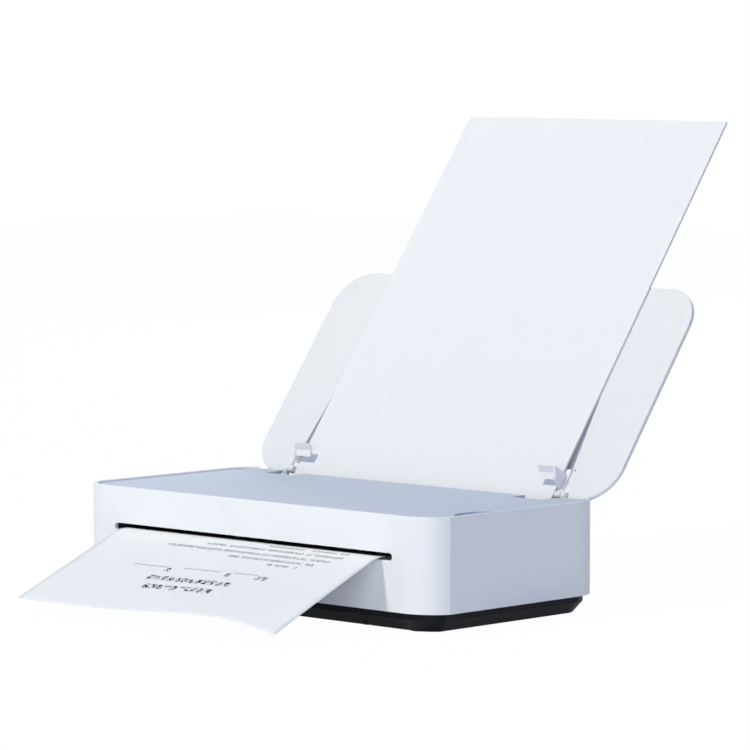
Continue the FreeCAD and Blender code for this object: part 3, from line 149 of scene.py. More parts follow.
# %% Helpers for any finish
def blank_material(name):
    material = bpy.data.materials.new(name)
    material.use_nodes = True
    tree = material.node_tree
    return material, tree, tree.nodes["Principled BSDF"]


def colour_between(tree, amount, first, second):
    node = tree.nodes.new("ShaderNodeMix")
    node.data_type = "RGBA"
    node.inputs["A"].default_value = (*first, 1.0)
    node.inputs["B"].default_value = (*second, 1.0)
    tree.links.new(amount, node.inputs["Factor"])
    return node.outputs["Result"]


def bump(tree, shader, height, strength, distance):
    node = tree.nodes.new("ShaderNodeBump")
    node.inputs["Strength"].default_value = strength
    node.inputs["Distance"].default_value = distance
    tree.links.new(height, node.inputs["Height"])
    tree.links.new(node.outputs["Normal"], shader.inputs["Normal"])


def place_group(tree, effect, values):
    group = tree.nodes.new("ShaderNodeGroup")
    group.node_tree = effect
    for label, value in values.items():
        group.inputs[label].default_value = value
    return group.outputs


print("helpers ready:", [made.__name__ for made in (blank_material, colour_between, bump, place_group)])

# %% Moulded plastic and drawn metal
GRAIN_HEIGHT = 0.1 * MM
LINE_HEIGHT = 0.05 * MM


def moulded(name, first, second, rough, grain=GRAIN_SCALE, depth=0.25, drift=DRIFT_SCALE):
    material, tree, shader = blank_material(name)
    effect = place_group(tree, grain_tree, {"Grain Scale": grain, "Drift Scale": drift})
    tint = colour_between(tree, effect["Drift"], first, second)
    tree.links.new(tint, shader.inputs["Base Color"])
    tree.links.new(remap(tree, effect["Drift"], 0, 1, *rough), shader.inputs["Roughness"])
    bump(tree, shader, effect["Height"], depth, GRAIN_HEIGHT)
    return material


def drawn_metal(name, first, second, rough, depth=0.1):
    material, tree, shader = blank_material(name)
    effect = place_group(tree, drawn_tree, {})
    shader.inputs["Metallic"].default_value = 1.0
    tint = colour_between(tree, effect["Streak"], first, second)
    tree.links.new(tint, shader.inputs["Base Color"])
    tree.links.new(remap(tree, effect["Streak"], 0, 1, *rough), shader.inputs["Roughness"])
    bump(tree, shader, effect["Height"], depth, LINE_HEIGHT)
    return material


print("finishes ready:", moulded.__name__, drawn_metal.__name__)

# %% [markdown]
# The case is satin white with a cool cast, the door on top is a matt blue grey, and the foot is a satin
# black with little shine. Inside are plain engineering plastics and rubbers, which show when the door is
# open. Each could have a node tree of its own, but they differ only in tone, gloss and grain, so a line
# for each is enough: two close tones, a range of roughness and, where it isn't the usual one, the grain.

# %% Plastics of the outside
white_case = moulded("white_case", (0.80, 0.825, 0.855), (0.83, 0.85, 0.875), (0.42, 0.52))
white_lid = moulded("white_lid", (0.75, 0.775, 0.80), (0.78, 0.80, 0.82), (0.48, 0.58))
grey_plate = moulded("grey_plate", (0.51, 0.575, 0.70), (0.54, 0.60, 0.725), (0.50, 0.62),
                     grain=1900.0, depth=0.4)
black_base = moulded("black_base", (0.006, 0.007, 0.009), (0.009, 0.010, 0.013), (0.30, 0.40), depth=0.1)
black_base.node_tree.nodes["Principled BSDF"].inputs["Specular IOR Level"].default_value = 0.1
guide_white = moulded("guide_white", (0.84, 0.86, 0.885), (0.87, 0.885, 0.905), (0.30, 0.42), depth=0.15)
print("outside:", [made.name for made in (white_case, white_lid, grey_plate, black_base, guide_white)])

# %% Plastics and rubbers of the inside
black_plastic = moulded("black_plastic", (0.018, 0.019, 0.022), (0.028, 0.029, 0.032), (0.45, 0.6))
grey_plastic = moulded("grey_plastic", (0.23, 0.24, 0.26), (0.28, 0.29, 0.31), (0.45, 0.6))
nylon = moulded("nylon", (0.70, 0.69, 0.64), (0.76, 0.75, 0.70), (0.35, 0.5), depth=0.15)
rubber_foot = moulded("rubber_foot", (0.018, 0.018, 0.019), (0.03, 0.03, 0.031), (0.7, 0.85),
                      grain=1400.0, depth=0.5)
roller_rubber = moulded("roller_rubber", (0.035, 0.035, 0.04), (0.055, 0.055, 0.06), (0.7, 0.85),
                        grain=1800.0, depth=0.6)
belt_rubber = moulded("belt_rubber", (0.012, 0.012, 0.013), (0.022, 0.022, 0.023), (0.6, 0.75),
                      grain=3000.0)
cap_rubber = moulded("cap_rubber", (0.06, 0.06, 0.065), (0.09, 0.09, 0.095), (0.6, 0.8))
absorber = moulded("absorber", (0.62, 0.61, 0.57), (0.74, 0.73, 0.69), (0.9, 1.0),
                   grain=1200.0, depth=1.0, drift=120.0)
cartridge_black = moulded("cartridge_black", (0.012, 0.012, 0.014), (0.02, 0.02, 0.022), (0.18, 0.3),
                          depth=0.05)
cartridge_colour = moulded("cartridge_colour", (0.05, 0.075, 0.16), (0.065, 0.095, 0.19), (0.18, 0.3),
                           depth=0.05)
print("materials so far:", len(bpy.data.materials))

# %% [markdown]
# The metals share one helper too. A ground rod is bright and smooth, sheet steel and a motor's can are
# duller, and the case screws are blackened. Paint-like grey would never catch the light as steel does,
# so these are fully metallic, with the fine lines of the second group.

# %% Metals
steel = drawn_metal("steel", (0.52, 0.53, 0.55), (0.62, 0.63, 0.65), (0.28, 0.42))
ground_steel = drawn_metal("ground_steel", (0.66, 0.67, 0.69), (0.74, 0.75, 0.77), (0.12, 0.22),
                           depth=0.04)
motor_can = drawn_metal("motor_can", (0.38, 0.39, 0.41), (0.48, 0.49, 0.51), (0.35, 0.5))
black_steel = drawn_metal("black_steel", (0.020, 0.020, 0.022), (0.035, 0.035, 0.038), (0.4, 0.55))
print("metals:", [metal.name for metal in (steel, ground_steel, motor_can, black_steel)])

# %% [markdown]
# The circuit boards are green lacquer with lighter copper tracks under it. Tracks could be drawn one by
# one, but they lie deep inside: a brick pattern has the right feel of short parallel runs, and costs one
# node. The encoder film is clear plastic with fine dark lines, which a wave along its length gives.

# %% Boards and film
TRACK_DEPTH = 0.2
FILM_TONES = (0.12, 0.125, 0.13), (0.62, 0.64, 0.66)


def circuit_board():
    material, tree, shader = blank_material("circuit")
    where = tree.nodes.new("ShaderNodeTexCoord")
    tracks = tree.nodes.new("ShaderNodeTexBrick")
    tracks.inputs["Scale"].default_value = 220.0
    tracks.inputs["Mortar Size"].default_value = 0.03
    tracks.inputs["Color1"].default_value = (0.008, 0.085, 0.045, 1.0)
    tracks.inputs["Color2"].default_value = (0.012, 0.11, 0.055, 1.0)
    tracks.inputs["Mortar"].default_value = (0.05, 0.24, 0.11, 1.0)
    tree.links.new(where.outputs["Object"], tracks.inputs["Vector"])
    tree.links.new(tracks.outputs["Color"], shader.inputs["Base Color"])
    bump(tree, shader, tracks.outputs["Fac"], TRACK_DEPTH, LINE_HEIGHT)
    shader.inputs["Roughness"].default_value = 0.3
    return material


def encoder_film():
    material, tree, shader = blank_material("film")
    where = tree.nodes.new("ShaderNodeTexCoord")
    lines = tree.nodes.new("ShaderNodeTexWave")
    lines.inputs["Scale"].default_value = 300.0
    tree.links.new(where.outputs["Object"], lines.inputs["Vector"])
    tint = colour_between(tree, lines.outputs["Fac"], *FILM_TONES)
    tree.links.new(tint, shader.inputs["Base Color"])
    shader.inputs["Roughness"].default_value = 0.2
    return material


circuit = circuit_board()
film = encoder_film()
print("boards and film:", circuit.name, film.name)

# %% [markdown]
# ## Dressing the parts
# Fifty-five parts could be dressed one by one. The loaded record already lists a finish for each of
# them, so a loop only has to find the material of the same name. The screws under the case are the one
# exception: they are blackened, so that they don't glint in the foot. The mesh of a loaded part stays
# untouched.

# %% Give each part its finish
finishes = {
    "white_case": white_case, "white_lid": white_lid, "grey_plate": grey_plate,
    "black_base": black_base, "guide_white": guide_white, "black_plastic": black_plastic,
    "grey_plastic": grey_plastic, "nylon": nylon, "rubber_foot": rubber_foot,
    "roller_rubber": roller_rubber, "belt_rubber": belt_rubber, "cap_rubber": cap_rubber,
    "absorber": absorber, "cartridge_black": cartridge_black, "cartridge_colour": cartridge_colour,
    "steel": steel, "ground_steel": ground_steel, "motor_can": motor_can,
    "circuit": circuit, "film": film,
}
slot_of = {entry["node"]: entry["material_slot"] for entry in frame["record"]["subparts"]}
for name, part in parts.items():
    finish = black_steel if name == "case_screws" else finishes.get(slot_of[name])
    if finish is None:
        continue
    part.data.materials.clear()
    part.data.materials.append(finish)
print("dressed:", sum(slot_of[name] in finishes for name in parts))

# %% [markdown]
# ## Paper
# Office paper is a felt of fibres: very matt, faintly cloudy, a touch blue from its brightener. Some of
# the light that falls on it comes out on the other side, which is why the shade under a sheet is never
# dark. A translucent shader mixed into the matt one does that. One helper makes the finish of the stack
# and that of the single sheet, which lets more light through. Both are the same paper; the sheet's
# lighter tones are painted light, so that it looks as bright as the stack though the light reaches it
# at a glancing angle.

# %% The paper finish
STACK_TONES = (0.845, 0.863, 0.892), (0.86, 0.876, 0.902)
# The sheet's tones are painted lighter than the stack's, to make up for the glancing light on it.
SHEET_TONES_PAINTED_LIGHTER = (0.965, 0.973, 0.988), (0.98, 0.985, 0.993)
THROUGH_TINT = (0.78, 0.87, 1.0)
SHINE_THROUGH = 0.18
STACK_SHARE = 1 / 6
FIBRE_SCALE = 1500.0
CLOUD_SCALE = 60.0
PAPER_ROUGH = (0.78, 0.9)
PAPER_DEPTH = 0.15


def paper_finish(name, tones, through_share):
    material, tree, shader = blank_material(name)
    effect = place_group(tree, grain_tree, {"Grain Scale": FIBRE_SCALE, "Drift Scale": CLOUD_SCALE})
    cloud = colour_between(tree, effect["Drift"], *tones)
    tree.links.new(cloud, shader.inputs["Base Color"])
    tree.links.new(remap(tree, effect["Drift"], 0, 1, *PAPER_ROUGH), shader.inputs["Roughness"])
    shader.inputs["Specular IOR Level"].default_value = 0.2
    bump(tree, shader, effect["Height"], PAPER_DEPTH, GRAIN_HEIGHT)
    through = tree.nodes.new("ShaderNodeBsdfTranslucent")
    through.inputs["Color"].default_value = (*THROUGH_TINT, 1.0)
    share = tree.nodes.new("ShaderNodeMixShader")
    share.inputs["Fac"].default_value = through_share
    tree.links.new(shader.outputs["BSDF"], share.inputs[1])
    tree.links.new(through.outputs["BSDF"], share.inputs[2])
    tree.links.new(share.outputs["Shader"], tree.nodes["Material Output"].inputs["Surface"])
    return material, tree, shader, cloud


plain_paper = paper_finish("plain_paper", STACK_TONES, SHINE_THROUGH * STACK_SHARE)[0]
print("finish:", plain_paper.name)

# %% [markdown]
# The stack is a handful of loose sheets. One box would do for the outline, but its edge would be a
# smooth wall. Geometry Nodes repeat a thin sheet along the stack's depth and shift each one by a hair,
# which gives the ragged edge of real paper. The tree has named inputs and a fixed seed.

# %% Named inputs of the stack
A4_WIDTH, A4_LENGTH = 0.21, 0.297
SHEET_PITCH = 0.1 * MM
SHEET_SLIP = 0.15 * MM
STACK_SHEETS = 15
STACK_SEED = 7


def stack_sockets(tree):
    add = tree.interface.new_socket
    add(name="Geometry", in_out="INPUT", socket_type="NodeSocketGeometry")
    for label, kind, value in (
            ("Width", "NodeSocketFloat", A4_WIDTH), ("Length", "NodeSocketFloat", A4_LENGTH),
            ("Pitch", "NodeSocketFloat", SHEET_PITCH), ("Shift", "NodeSocketFloat", SHEET_SLIP),
            ("Sheets", "NodeSocketInt", STACK_SHEETS), ("Seed", "NodeSocketInt", STACK_SEED)):
        add(name=label, in_out="INPUT", socket_type=kind).default_value = value
    add(name="Paper", in_out="INPUT", socket_type="NodeSocketMaterial")
    add(name="Geometry", in_out="OUTPUT", socket_type="NodeSocketGeometry")
    return tree.nodes.new("NodeGroupInput").outputs, tree.nodes.new("NodeGroupOutput").inputs


print("stack of", STACK_SHEETS, "sheets,", round(STACK_SHEETS * SHEET_PITCH / MM, 2), "mm deep")

# %% [markdown]
# A sheet in the stack is a box a little thinner than its share of the depth, so a line of air stays
# between neighbours. Sheets could be shifted by hand, but a random value for each one is quicker and
# never repeats. It moves a sheet across and along, and not in depth.

# %% One sheet and its slip
SHEET_FILL = 0.9
LEAF_COLUMNS, LEAF_ROWS = 8, 40


def scaled(tree, value, factor):
    node = tree.nodes.new("ShaderNodeMath")
    node.operation = "MULTIPLY"
    node.inputs[1].default_value = factor
    tree.links.new(value, node.inputs[0])
    return node.outputs["Value"]


def vector_from(tree, **axes):
    node = tree.nodes.new("ShaderNodeCombineXYZ")
    for axis, value in axes.items():
        tree.links.new(value, node.inputs[axis])
    return node.outputs["Vector"]


def one_sheet(tree, given):
    leaf = tree.nodes.new("GeometryNodeMeshCube")
    leaf.inputs["Vertices X"].default_value = LEAF_COLUMNS
    leaf.inputs["Vertices Y"].default_value = LEAF_ROWS
    thickness = scaled(tree, given["Pitch"], SHEET_FILL)
    size = vector_from(tree, X=given["Width"], Y=given["Length"], Z=thickness)
    tree.links.new(size, leaf.inputs["Size"])
    return leaf.outputs["Mesh"]


def sheet_slip(tree, given):
    slip = tree.nodes.new("FunctionNodeRandomValue")
    slip.data_type = "FLOAT_VECTOR"
    back = scaled(tree, given["Shift"], -1.0)
    tree.links.new(vector_from(tree, X=back, Y=back), slip.inputs[0])
    tree.links.new(vector_from(tree, X=given["Shift"], Y=given["Shift"]), slip.inputs[1])
    tree.links.new(given["Seed"], slip.inputs["Seed"])
    return slip.outputs["Value"]


print("helpers ready:", [helper.__name__ for helper in (scaled, vector_from, one_sheet, sheet_slip)])

# %% The tree that stacks them
def stacking_tree():
    tree = bpy.data.node_groups.new("stack_of_sheets", "GeometryNodeTree")
    given, result = stack_sockets(tree)
    make, link = tree.nodes.new, tree.links.new
    line = make("GeometryNodeMeshLine")
    link(given["Sheets"], line.inputs["Count"])
    link(vector_from(tree, Z=given["Pitch"]), line.inputs["Offset"])
    jog = make("GeometryNodeSetPosition")
    link(line.outputs["Mesh"], jog.inputs["Geometry"])
    link(sheet_slip(tree, given), jog.inputs["Offset"])
    copies = make("GeometryNodeInstanceOnPoints")
    link(jog.outputs["Geometry"], copies.inputs["Points"])
    link(one_sheet(tree, given), copies.inputs["Instance"])
    real = make("GeometryNodeRealizeInstances")
    link(copies.outputs["Instances"], real.inputs["Geometry"])
    coat = make("GeometryNodeSetMaterial")
    link(real.outputs["Geometry"], coat.inputs["Geometry"])
    link(given["Paper"], coat.inputs["Material"])
    link(coat.outputs["Geometry"], result["Geometry"])
    return tree


stack_tree = stacking_tree()
print("tree:", stack_tree.name, "with", len(stack_tree.nodes), "nodes")

# %% [markdown]
# A live tree could stay on its object, but instances are lost when a model leaves Blender. The helper
# below sets the tree's inputs on an empty object, lets Blender work the result out, and keeps it as a
# plain mesh.

# %% A helper that turns a tree into a plain mesh
def grow(name, tree, values):
    holder = bpy.data.objects.new(name + "_maker", bpy.data.meshes.new(name + "_seed"))
    bpy.context.scene.collection.objects.link(holder)
    modifier = holder.modifiers.new("grow", "NODES")
    modifier.node_group = tree
    for item in tree.interface.items_tree:
        if item.in_out == "INPUT" and item.name in values:
            modifier[item.identifier] = values[item.name]
    bpy.context.view_layer.update()
    ready = holder.evaluated_get(bpy.context.evaluated_depsgraph_get())
    mesh = bpy.data.meshes.new_from_object(ready)
    bpy.data.objects.remove(holder)
    mesh.name = name
    piece = bpy.data.objects.new(name, mesh)
    bpy.context.scene.collection.objects.link(piece)
    return piece


print("helper ready:", grow.__name__)

# %% [markdown]
# The stack lies on the leaning lid. Its place could be typed in, but then it would be wrong as soon as
# the lid leans otherwise. The axis of the small pinion in the lid stands square on the lid's face, so
# the slope and a point of the face are read from that joint, and the lower end from the stack's own box.

# %% The lid's slope and the stack's place
STACK_GAP = 0.05 * MM
joints = {joint["name"]: joint for joint in frame["joints"]}
pinion = joints["guide_pinion_spin"]
lid_normal = -Vector(pinion["axis"]).normalized()
lid_point = Vector(pinion["pos_m"])
lid_tilt = math.atan2(-lid_normal.y, lid_normal.z)
stack_low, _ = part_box("paper_stack")
stack_foot = (stack_low.z - lid_point.z - STACK_GAP * lid_normal.z) / math.sin(lid_tilt)
print("lid leans at", round(math.degrees(lid_tilt), 2), "degrees")
print("stack starts", round(stack_foot / MM, 1), "mm up it")

# %% The stack in the tray
stack = grow("paper_in_tray", stack_tree, {
    "Width": A4_WIDTH, "Length": A4_LENGTH, "Pitch": SHEET_PITCH, "Shift": SHEET_SLIP,
    "Sheets": STACK_SHEETS, "Seed": STACK_SEED, "Paper": plain_paper})
middle = Vector((0, stack_foot + A4_LENGTH / 2, STACK_GAP + SHEET_PITCH / 2))
lean = Matrix.Translation(lid_point) @ Matrix.Rotation(lid_tilt, 4, "X") @ Matrix.Translation(middle)
stack.data.transform(lean)
print("sheets in the tray:", STACK_SHEETS, "faces:", len(stack.data.polygons))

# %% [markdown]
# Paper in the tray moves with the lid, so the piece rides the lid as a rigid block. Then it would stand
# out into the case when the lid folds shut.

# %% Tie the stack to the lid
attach(stack, "lid")
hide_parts("paper_stack")
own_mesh(stack)
print("rides the lid:", stack.name)

# %% [markdown]
# ## The printed sheet
# The sheet climbs out of the slot, bends over its lip and hangs down to the table. A cloth simulation
# could do it, but its result would be hard to steer. The side view is only a straight ramp, an arc and a
# straight fall, so a short formula gives the height at any distance along the sheet.

# %% The sheet's path
exit_axis = joints["sheet_exit"]["axis"]
RISE = math.atan2(exit_axis[2], -exit_axis[1])
FALL = math.radians(22.7)
BEND_RADIUS = 25.0 * MM
BEND_Y = -70.0 * MM
NIP_Z = 31.15 * MM
sheet_low, sheet_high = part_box("printed_sheet")
bend_z = NIP_Z - BEND_Y * math.tan(RISE)
bend_centre = (BEND_Y - BEND_RADIUS * math.sin(RISE), bend_z - BEND_RADIUS * math.cos(RISE))
BEND_LENGTH = BEND_RADIUS * (RISE + FALL)
fall_start_y = bend_centre[0] - BEND_RADIUS * math.sin(FALL)
FALL_LENGTH = (fall_start_y - sheet_low.y) / math.cos(FALL)
RAMP_LENGTH = (sheet_high.y - BEND_Y) / math.cos(RISE)


def on_path(run):
    """Point in Y and Z at a distance along the sheet from the start of its bend."""
    if run < 0:
        return BEND_Y - run * math.cos(RISE), bend_z + run * math.sin(RISE)
    angle = RISE - min(run, BEND_LENGTH) / BEND_RADIUS
    rest = max(0.0, run - BEND_LENGTH)
    y = bend_centre[0] + BEND_RADIUS * math.sin(angle) - rest * math.cos(FALL)
    z = bend_centre[1] + BEND_RADIUS * math.cos(angle) - rest * math.sin(FALL)
    return y, z


print("ramp, bend, fall in mm:", [round(v / MM, 1) for v in (RAMP_LENGTH, BEND_LENGTH, FALL_LENGTH)])

# %% [markdown]
# The front edge isn't level: paper that hangs free curls, so the edge rides up to the right of its middle
# and dips again at the right corner. Both grow with the square of the distance from the bend. Sculpting
# would do it too, but two short formulas can be measured and changed. They bend a grid, and each corner
# of the grid keeps its place on the flat sheet as a UV map, on which the print is laid later. Solidify
# then gives the sheet its thickness.

# %% The sheet's curl
HALF_SHEET = A4_WIDTH / 2
EDGE_ARCH = 4.0 * MM
ARCH_X = 0.05
ARCH_SPREAD = 0.06
CORNER_DIP = 3.1 * MM
DIP_START = 0.058


def curl(x, run):
    reach = max(0.0, run / (BEND_LENGTH + FALL_LENGTH)) ** 2
    arch = EDGE_ARCH * math.exp(-((x - ARCH_X) / ARCH_SPREAD) ** 2)
    toward_corner = max(0.0, (x - DIP_START) / (HALF_SHEET - DIP_START))
    return reach * (arch - CORNER_DIP * toward_corner ** 2)


for label, x in (("left", -HALF_SHEET), ("arch", ARCH_X), ("right", HALF_SHEET)):
    print("front edge,", label, "in mm:", round(curl(x, BEND_LENGTH + FALL_LENGTH) / MM, 2))

# %% The sheet's mesh
SHEET_THICK = 0.12 * MM
COLUMNS, ROWS = 42, 70


def sheet_mesh():
    build = bmesh.new()
    layer = build.loops.layers.uv.new("print_place")
    grid = []
    for i in range(ROWS + 1):
        run = -RAMP_LENGTH + (RAMP_LENGTH + BEND_LENGTH + FALL_LENGTH) * i / ROWS
        y, z = on_path(run)
        row = []
        for j in range(COLUMNS + 1):
            x = -HALF_SHEET + 2 * HALF_SHEET * j / COLUMNS
            row.append((build.verts.new((x, y, z + curl(x, run))), (x, run)))
        grid.append(row)
    for lower, upper in zip(grid, grid[1:]):
        for a, b in zip(range(COLUMNS), range(1, COLUMNS + 1)):
            corners = [lower[a], upper[a], upper[b], lower[b]]
            face = build.faces.new([vert for vert, _ in corners])
            for loop, (_, place) in zip(face.loops, corners):
                loop[layer].uv = place
            face.smooth = True
    mesh = bpy.data.meshes.new("sheet_in_slot")
    build.to_mesh(mesh)
    build.free()
    return mesh


sheet = bpy.data.objects.new("sheet_in_slot", sheet_mesh())
bpy.context.scene.collection.objects.link(sheet)
thicken = sheet.modifiers.new("thickness", "SOLIDIFY")
thicken.thickness = SHEET_THICK
thicken.offset = 0.0
lowest = min(vertex.co.z for vertex in sheet.data.vertices)
print("sheet faces:", len(sheet.data.polygons), "lowest point in mm:", round(lowest / MM, 2))

# %% [markdown]
# The print is only suggested: rows of small dark marks and three ruled lines, as on any form. It could
# be set as text, but words draw the eye, and these should have the texture of writing with nothing to
# read. Each row is a rectangle on the UV map, measured in millimetres across and along the sheet: left
# end, right end, middle of the row and its height. A group of rows shares a letter width and a share of
# bare squares.

# %% Rows of print
INK = (0.02, 0.025, 0.06)
TEXT_ROWS = [
    (5.6, 0.42, [(-28, 28, 67.5, 5.2), (-33.6, 33.6, 57.5, 4.8)]),
    (4.8, 0.42, [(-28.8, -19.2, 47.5, 4.0), (14.4, 24, 46.5, 4.0), (43.2, 52.8, 46.5, 4.0)]),
    (2.2, 0.50, [(38, 65, 30.0, 2.4), (2, 73, 25.0, 2.4), (-53, 78, 19.5, 2.4),
                 (-25, 84, 14.0, 2.4), (20, 85, 8.5, 2.4)]),
]
RULED_LINES = [(-57, -29, 45.0), (-16, 14, 44.0), (24, 43, 43.5)]
LINE_WIDTH = 0.45
print("rows of print:", sum(len(rows) for _, _, rows in TEXT_ROWS), "ruled lines:", len(RULED_LINES))

# %% Helpers for marks
def arithmetic(tree, operation, first, second):
    node = tree.nodes.new("ShaderNodeMath")
    node.operation = operation
    for socket, value in zip(node.inputs, (first, second)):
        if isinstance(value, (int, float)):
            socket.default_value = value
        else:
            tree.links.new(value, socket)
    return node.outputs["Value"]


def within(tree, value, low, high):
    above = arithmetic(tree, "GREATER_THAN", value, low)
    return arithmetic(tree, "MULTIPLY", above, arithmetic(tree, "LESS_THAN", value, high))


def rectangle(tree, across, along, left, right, centre, height):
    wide = within(tree, across, left * MM, right * MM)
    tall = within(tree, along, (centre - height / 2) * MM, (centre + height / 2) * MM)
    return arithmetic(tree, "MULTIPLY", wide, tall)


def chance(tree, place, step, threshold):
    """Squares of a grid that come up inked when each is given a random value."""
    grid = tree.nodes.new("ShaderNodeVectorMath")
    grid.operation = "SNAP"
    grid.inputs[1].default_value = (*step, 1.0)
    tree.links.new(place, grid.inputs[0])
    random = tree.nodes.new("ShaderNodeTexWhiteNoise")
    random.noise_dimensions = "2D"
    tree.links.new(grid.outputs["Vector"], random.inputs["Vector"])
    return arithmetic(tree, "GREATER_THAN", random.outputs["Value"], threshold)


print("helpers ready:", [helper.__name__ for helper in (arithmetic, within, rectangle, chance)])

# %% [markdown]
# Ink lies on the paper's own finish, so the printed sheet starts from the same helper as the stack.
# Inside a row, the map is snapped to a fine grid and each square is inked or left bare by chance. Blank
# strips cut the marks into letters, and some letters are left out as the spaces between words. All of it
# is made by nodes, so the marks stay sharp from close by.

# %% The marks of a group of rows
STROKES_PER_LETTER = 6
LETTER_TO_GAP = 10
LETTERS_PER_ROW_HEIGHT = 3
LETTERS_LEFT_OUT = 0.12


def text_marks(tree, place, across, along, letter, bare, rows):
    text = 0.0
    for left, right, centre, height in rows:
        text = arithmetic(tree, "ADD", text, rectangle(tree, across, along, left, right, centre, height))
    stroke = letter / STROKES_PER_LETTER * MM
    strokes = chance(tree, place, (stroke, stroke), bare)
    letters = chance(tree, place, (letter * MM, LETTERS_PER_ROW_HEIGHT * letter * MM), LETTERS_LEFT_OUT)
    spot = arithmetic(tree, "PINGPONG", across, letter / 2 * MM)
    body = arithmetic(tree, "GREATER_THAN", spot, letter / LETTER_TO_GAP * MM)
    for mask in (strokes, letters, body):
        text = arithmetic(tree, "MULTIPLY", text, mask)
    return text


print("helper ready:", text_marks.__name__)

# %% The printed paper finish
def printed_paper():
    material, tree, shader, cloud = paper_finish("printed_paper", SHEET_TONES_PAINTED_LIGHTER, SHINE_THROUGH)
    place = tree.nodes.new("ShaderNodeUVMap")
    place.uv_map = "print_place"
    axes = tree.nodes.new("ShaderNodeSeparateXYZ")
    tree.links.new(place.outputs["UV"], axes.inputs["Vector"])
    across, along = axes.outputs["X"], axes.outputs["Y"]
    print_marks = 0.0
    for letter, bare, rows in TEXT_ROWS:
        text = text_marks(tree, place.outputs["UV"], across, along, letter, bare, rows)
        print_marks = arithmetic(tree, "ADD", print_marks, text)
    for left, right, centre in RULED_LINES:
        line = rectangle(tree, across, along, left, right, centre, LINE_WIDTH)
        print_marks = arithmetic(tree, "ADD", print_marks, line)
    inked = tree.nodes.new("ShaderNodeMix")
    inked.data_type = "RGBA"
    inked.inputs["B"].default_value = (*INK, 1.0)
    tree.links.new(print_marks, inked.inputs["Factor"])
    tree.links.new(cloud, inked.inputs["A"])
    tree.links.new(inked.outputs["Result"], shader.inputs["Base Color"])
    return material


sheet.data.materials.append(printed_paper())
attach(sheet, "printed_sheet")
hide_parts("printed_sheet")
print("finish of the sheet:", sheet.data.materials[0].name)

# %% [markdown]
# ## Floor and light
# The picture is a studio cut-out: white all round, with hardly a shadow. More lamps on the floor would
# do it, but they would wash out the white case as well. So the floor is a large white sheet that shows
# the camera mostly its own white, melts into the background and still takes a trace of the printer's
# shadow. Mirrors see less of that white, so that the black foot reflects its own shade.

# %% Floor
FLOOR_HALF = 4.0
FLOOR_GLOW = 0.98
MIRROR_GLOW = 0.25


def floor_finish():
    material, tree, shader = blank_material("studio_floor")
    shader.inputs["Base Color"].default_value = (0.94, 0.94, 0.94, 1.0)
    shader.inputs["Roughness"].default_value = 0.9
    glow = tree.nodes.new("ShaderNodeEmission")
    blend = tree.nodes.new("ShaderNodeMixShader")
    path = tree.nodes.new("ShaderNodeLightPath")
    seen = arithmetic(tree, "MULTIPLY", path.outputs["Is Camera Ray"], FLOOR_GLOW)
    glossy, through = path.outputs["Is Glossy Ray"], path.outputs["Is Transmission Ray"]
    mirrored = arithmetic(tree, "MULTIPLY", arithmetic(tree, "MAXIMUM", glossy, through), MIRROR_GLOW)
    tree.links.new(arithmetic(tree, "MAXIMUM", seen, mirrored), blend.inputs["Fac"])
    tree.links.new(shader.outputs["BSDF"], blend.inputs[1])
    tree.links.new(glow.outputs["Emission"], blend.inputs[2])
    output = tree.nodes["Material Output"]
    tree.links.new(blend.outputs["Shader"], output.inputs["Surface"])
    return material


floor_data = bpy.data.meshes.new("floor")
floor_corners = [(x * FLOOR_HALF, y * FLOOR_HALF, 0) for x, y in ((-1, -1), (1, -1), (1, 1), (-1, 1))]
floor_data.from_pydata(floor_corners, [], [(0, 1, 2, 3)])
floor = bpy.data.objects.new("floor", floor_data)
floor.data.materials.append(floor_finish())
bpy.context.scene.collection.objects.link(floor)
print("floor half width in m:", FLOOR_HALF)

# %% [markdown]
# Light from the white room reaches every side of the printer and turns its shade cool. A sky image could
# give it, but one colour does, and it leaves the lamps in charge. The camera and mirrors see plain
# white.

# %% World
AMBIENT = (0.50, 0.64, 1.0)
AMBIENT_STRENGTH = 0.37
world = bpy.data.worlds.new("studio")
bpy.context.scene.world = world
world.use_nodes = True
sky = world.node_tree
fill = sky.nodes["Background"]
fill.inputs["Color"].default_value = (*AMBIENT, 1.0)
fill.inputs["Strength"].default_value = AMBIENT_STRENGTH
white = sky.nodes.new("ShaderNodeBackground")
white.inputs["Color"].default_value = (1.0, 1.0, 1.0, 1.0)
path = sky.nodes.new("ShaderNodeLightPath")
seen = arithmetic(sky, "MAXIMUM", path.outputs["Is Camera Ray"], path.outputs["Is Glossy Ray"])
seen = arithmetic(sky, "MAXIMUM", seen, path.outputs["Is Transmission Ray"])
choose = sky.nodes.new("ShaderNodeMixShader")
sky.links.new(seen, choose.inputs["Fac"])
sky.links.new(fill.outputs["Background"], choose.inputs[1])
sky.links.new(white.outputs["Background"], choose.inputs[2])
sky.links.new(choose.outputs["Shader"], sky.nodes["World Output"].inputs["Surface"])
print("ambient strength:", AMBIENT_STRENGTH)

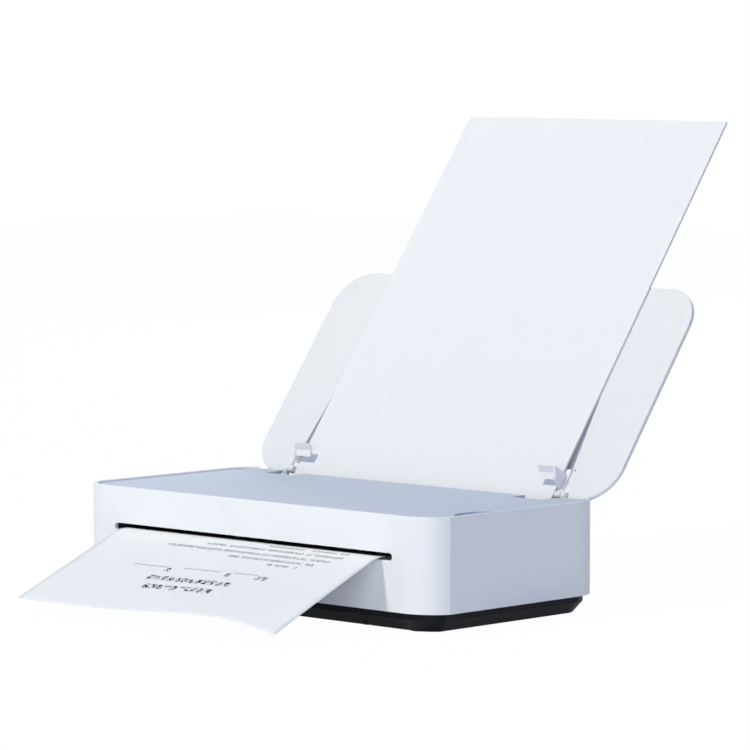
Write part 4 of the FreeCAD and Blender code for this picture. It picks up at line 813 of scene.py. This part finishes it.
# %% [markdown]
# Three round softboxes model the form. A warm one stands high in front and brightens the front, the top
# and the paper. A broad one stands low at the right front and reaches the side as well. A third stands
# behind, for the rear and the back of the lid. A point lamp would throw hard shadows; the size of an
# area lamp decides how soft a shade is, as in a studio.

# %% Lamps
LAMP_TARGET = Vector((0, 0, 0.08))


def softbox(name, place, size, power, tint):
    data = bpy.data.lights.new(name, "AREA")
    data.shape = "DISK"
    data.color = tint
    data.size = size
    data.energy = power
    lamp = bpy.data.objects.new(name, data)
    lamp.location = place
    lamp.rotation_euler = (LAMP_TARGET - lamp.location).to_track_quat("-Z", "Y").to_euler()
    bpy.context.scene.collection.objects.link(lamp)
    return lamp


lamps = [
    softbox("front_lamp", place=(-0.4, -1.88, 2.45), size=0.5, power=56.5, tint=(1.0, 0.965, 0.78)),
    softbox("side_lamp", place=(1.5, -2.6, 0.45), size=1.5, power=23.5, tint=(0.91, 0.90, 1.0)),
    softbox("back_lamp", place=(-1.1, 2.6, 1.4), size=1.5, power=28.0, tint=(1.0, 0.97, 0.90)),
]
print("lamps in watts:", {lamp.name: round(lamp.data.energy, 1) for lamp in lamps})

# %% [markdown]
# ## Camera
# The photograph was taken with a long lens from the printer's right front, a little above the table. A
# camera placed by eye would come close, but then no edge could be compared with the photograph. This
# place was found by fitting the case's edges and the corners of the paper.

# %% Camera
CAMERA_PLACE = Vector((1761.9, -1838.3, 333.9)) * MM
LOOK_DOWN, ROLL, TURN = 4.47, -0.07, 43.31
LENS, SENSOR_WIDTH = 208.13, 36.0
FAR_CLIP = 50.0
camera_data = bpy.data.cameras.new("camera")
camera_data.lens = LENS
camera_data.sensor_width = SENSOR_WIDTH
camera_data.clip_end = FAR_CLIP
camera = bpy.data.objects.new("camera", camera_data)
camera.location = CAMERA_PLACE
camera.rotation_euler = (math.radians(90 - LOOK_DOWN), math.radians(ROLL), math.radians(TURN))
bpy.context.scene.collection.objects.link(camera)
bpy.context.scene.camera = camera
bpy.context.scene.view_settings.view_transform = "Standard"
print("lens in mm:", round(camera_data.lens, 2))
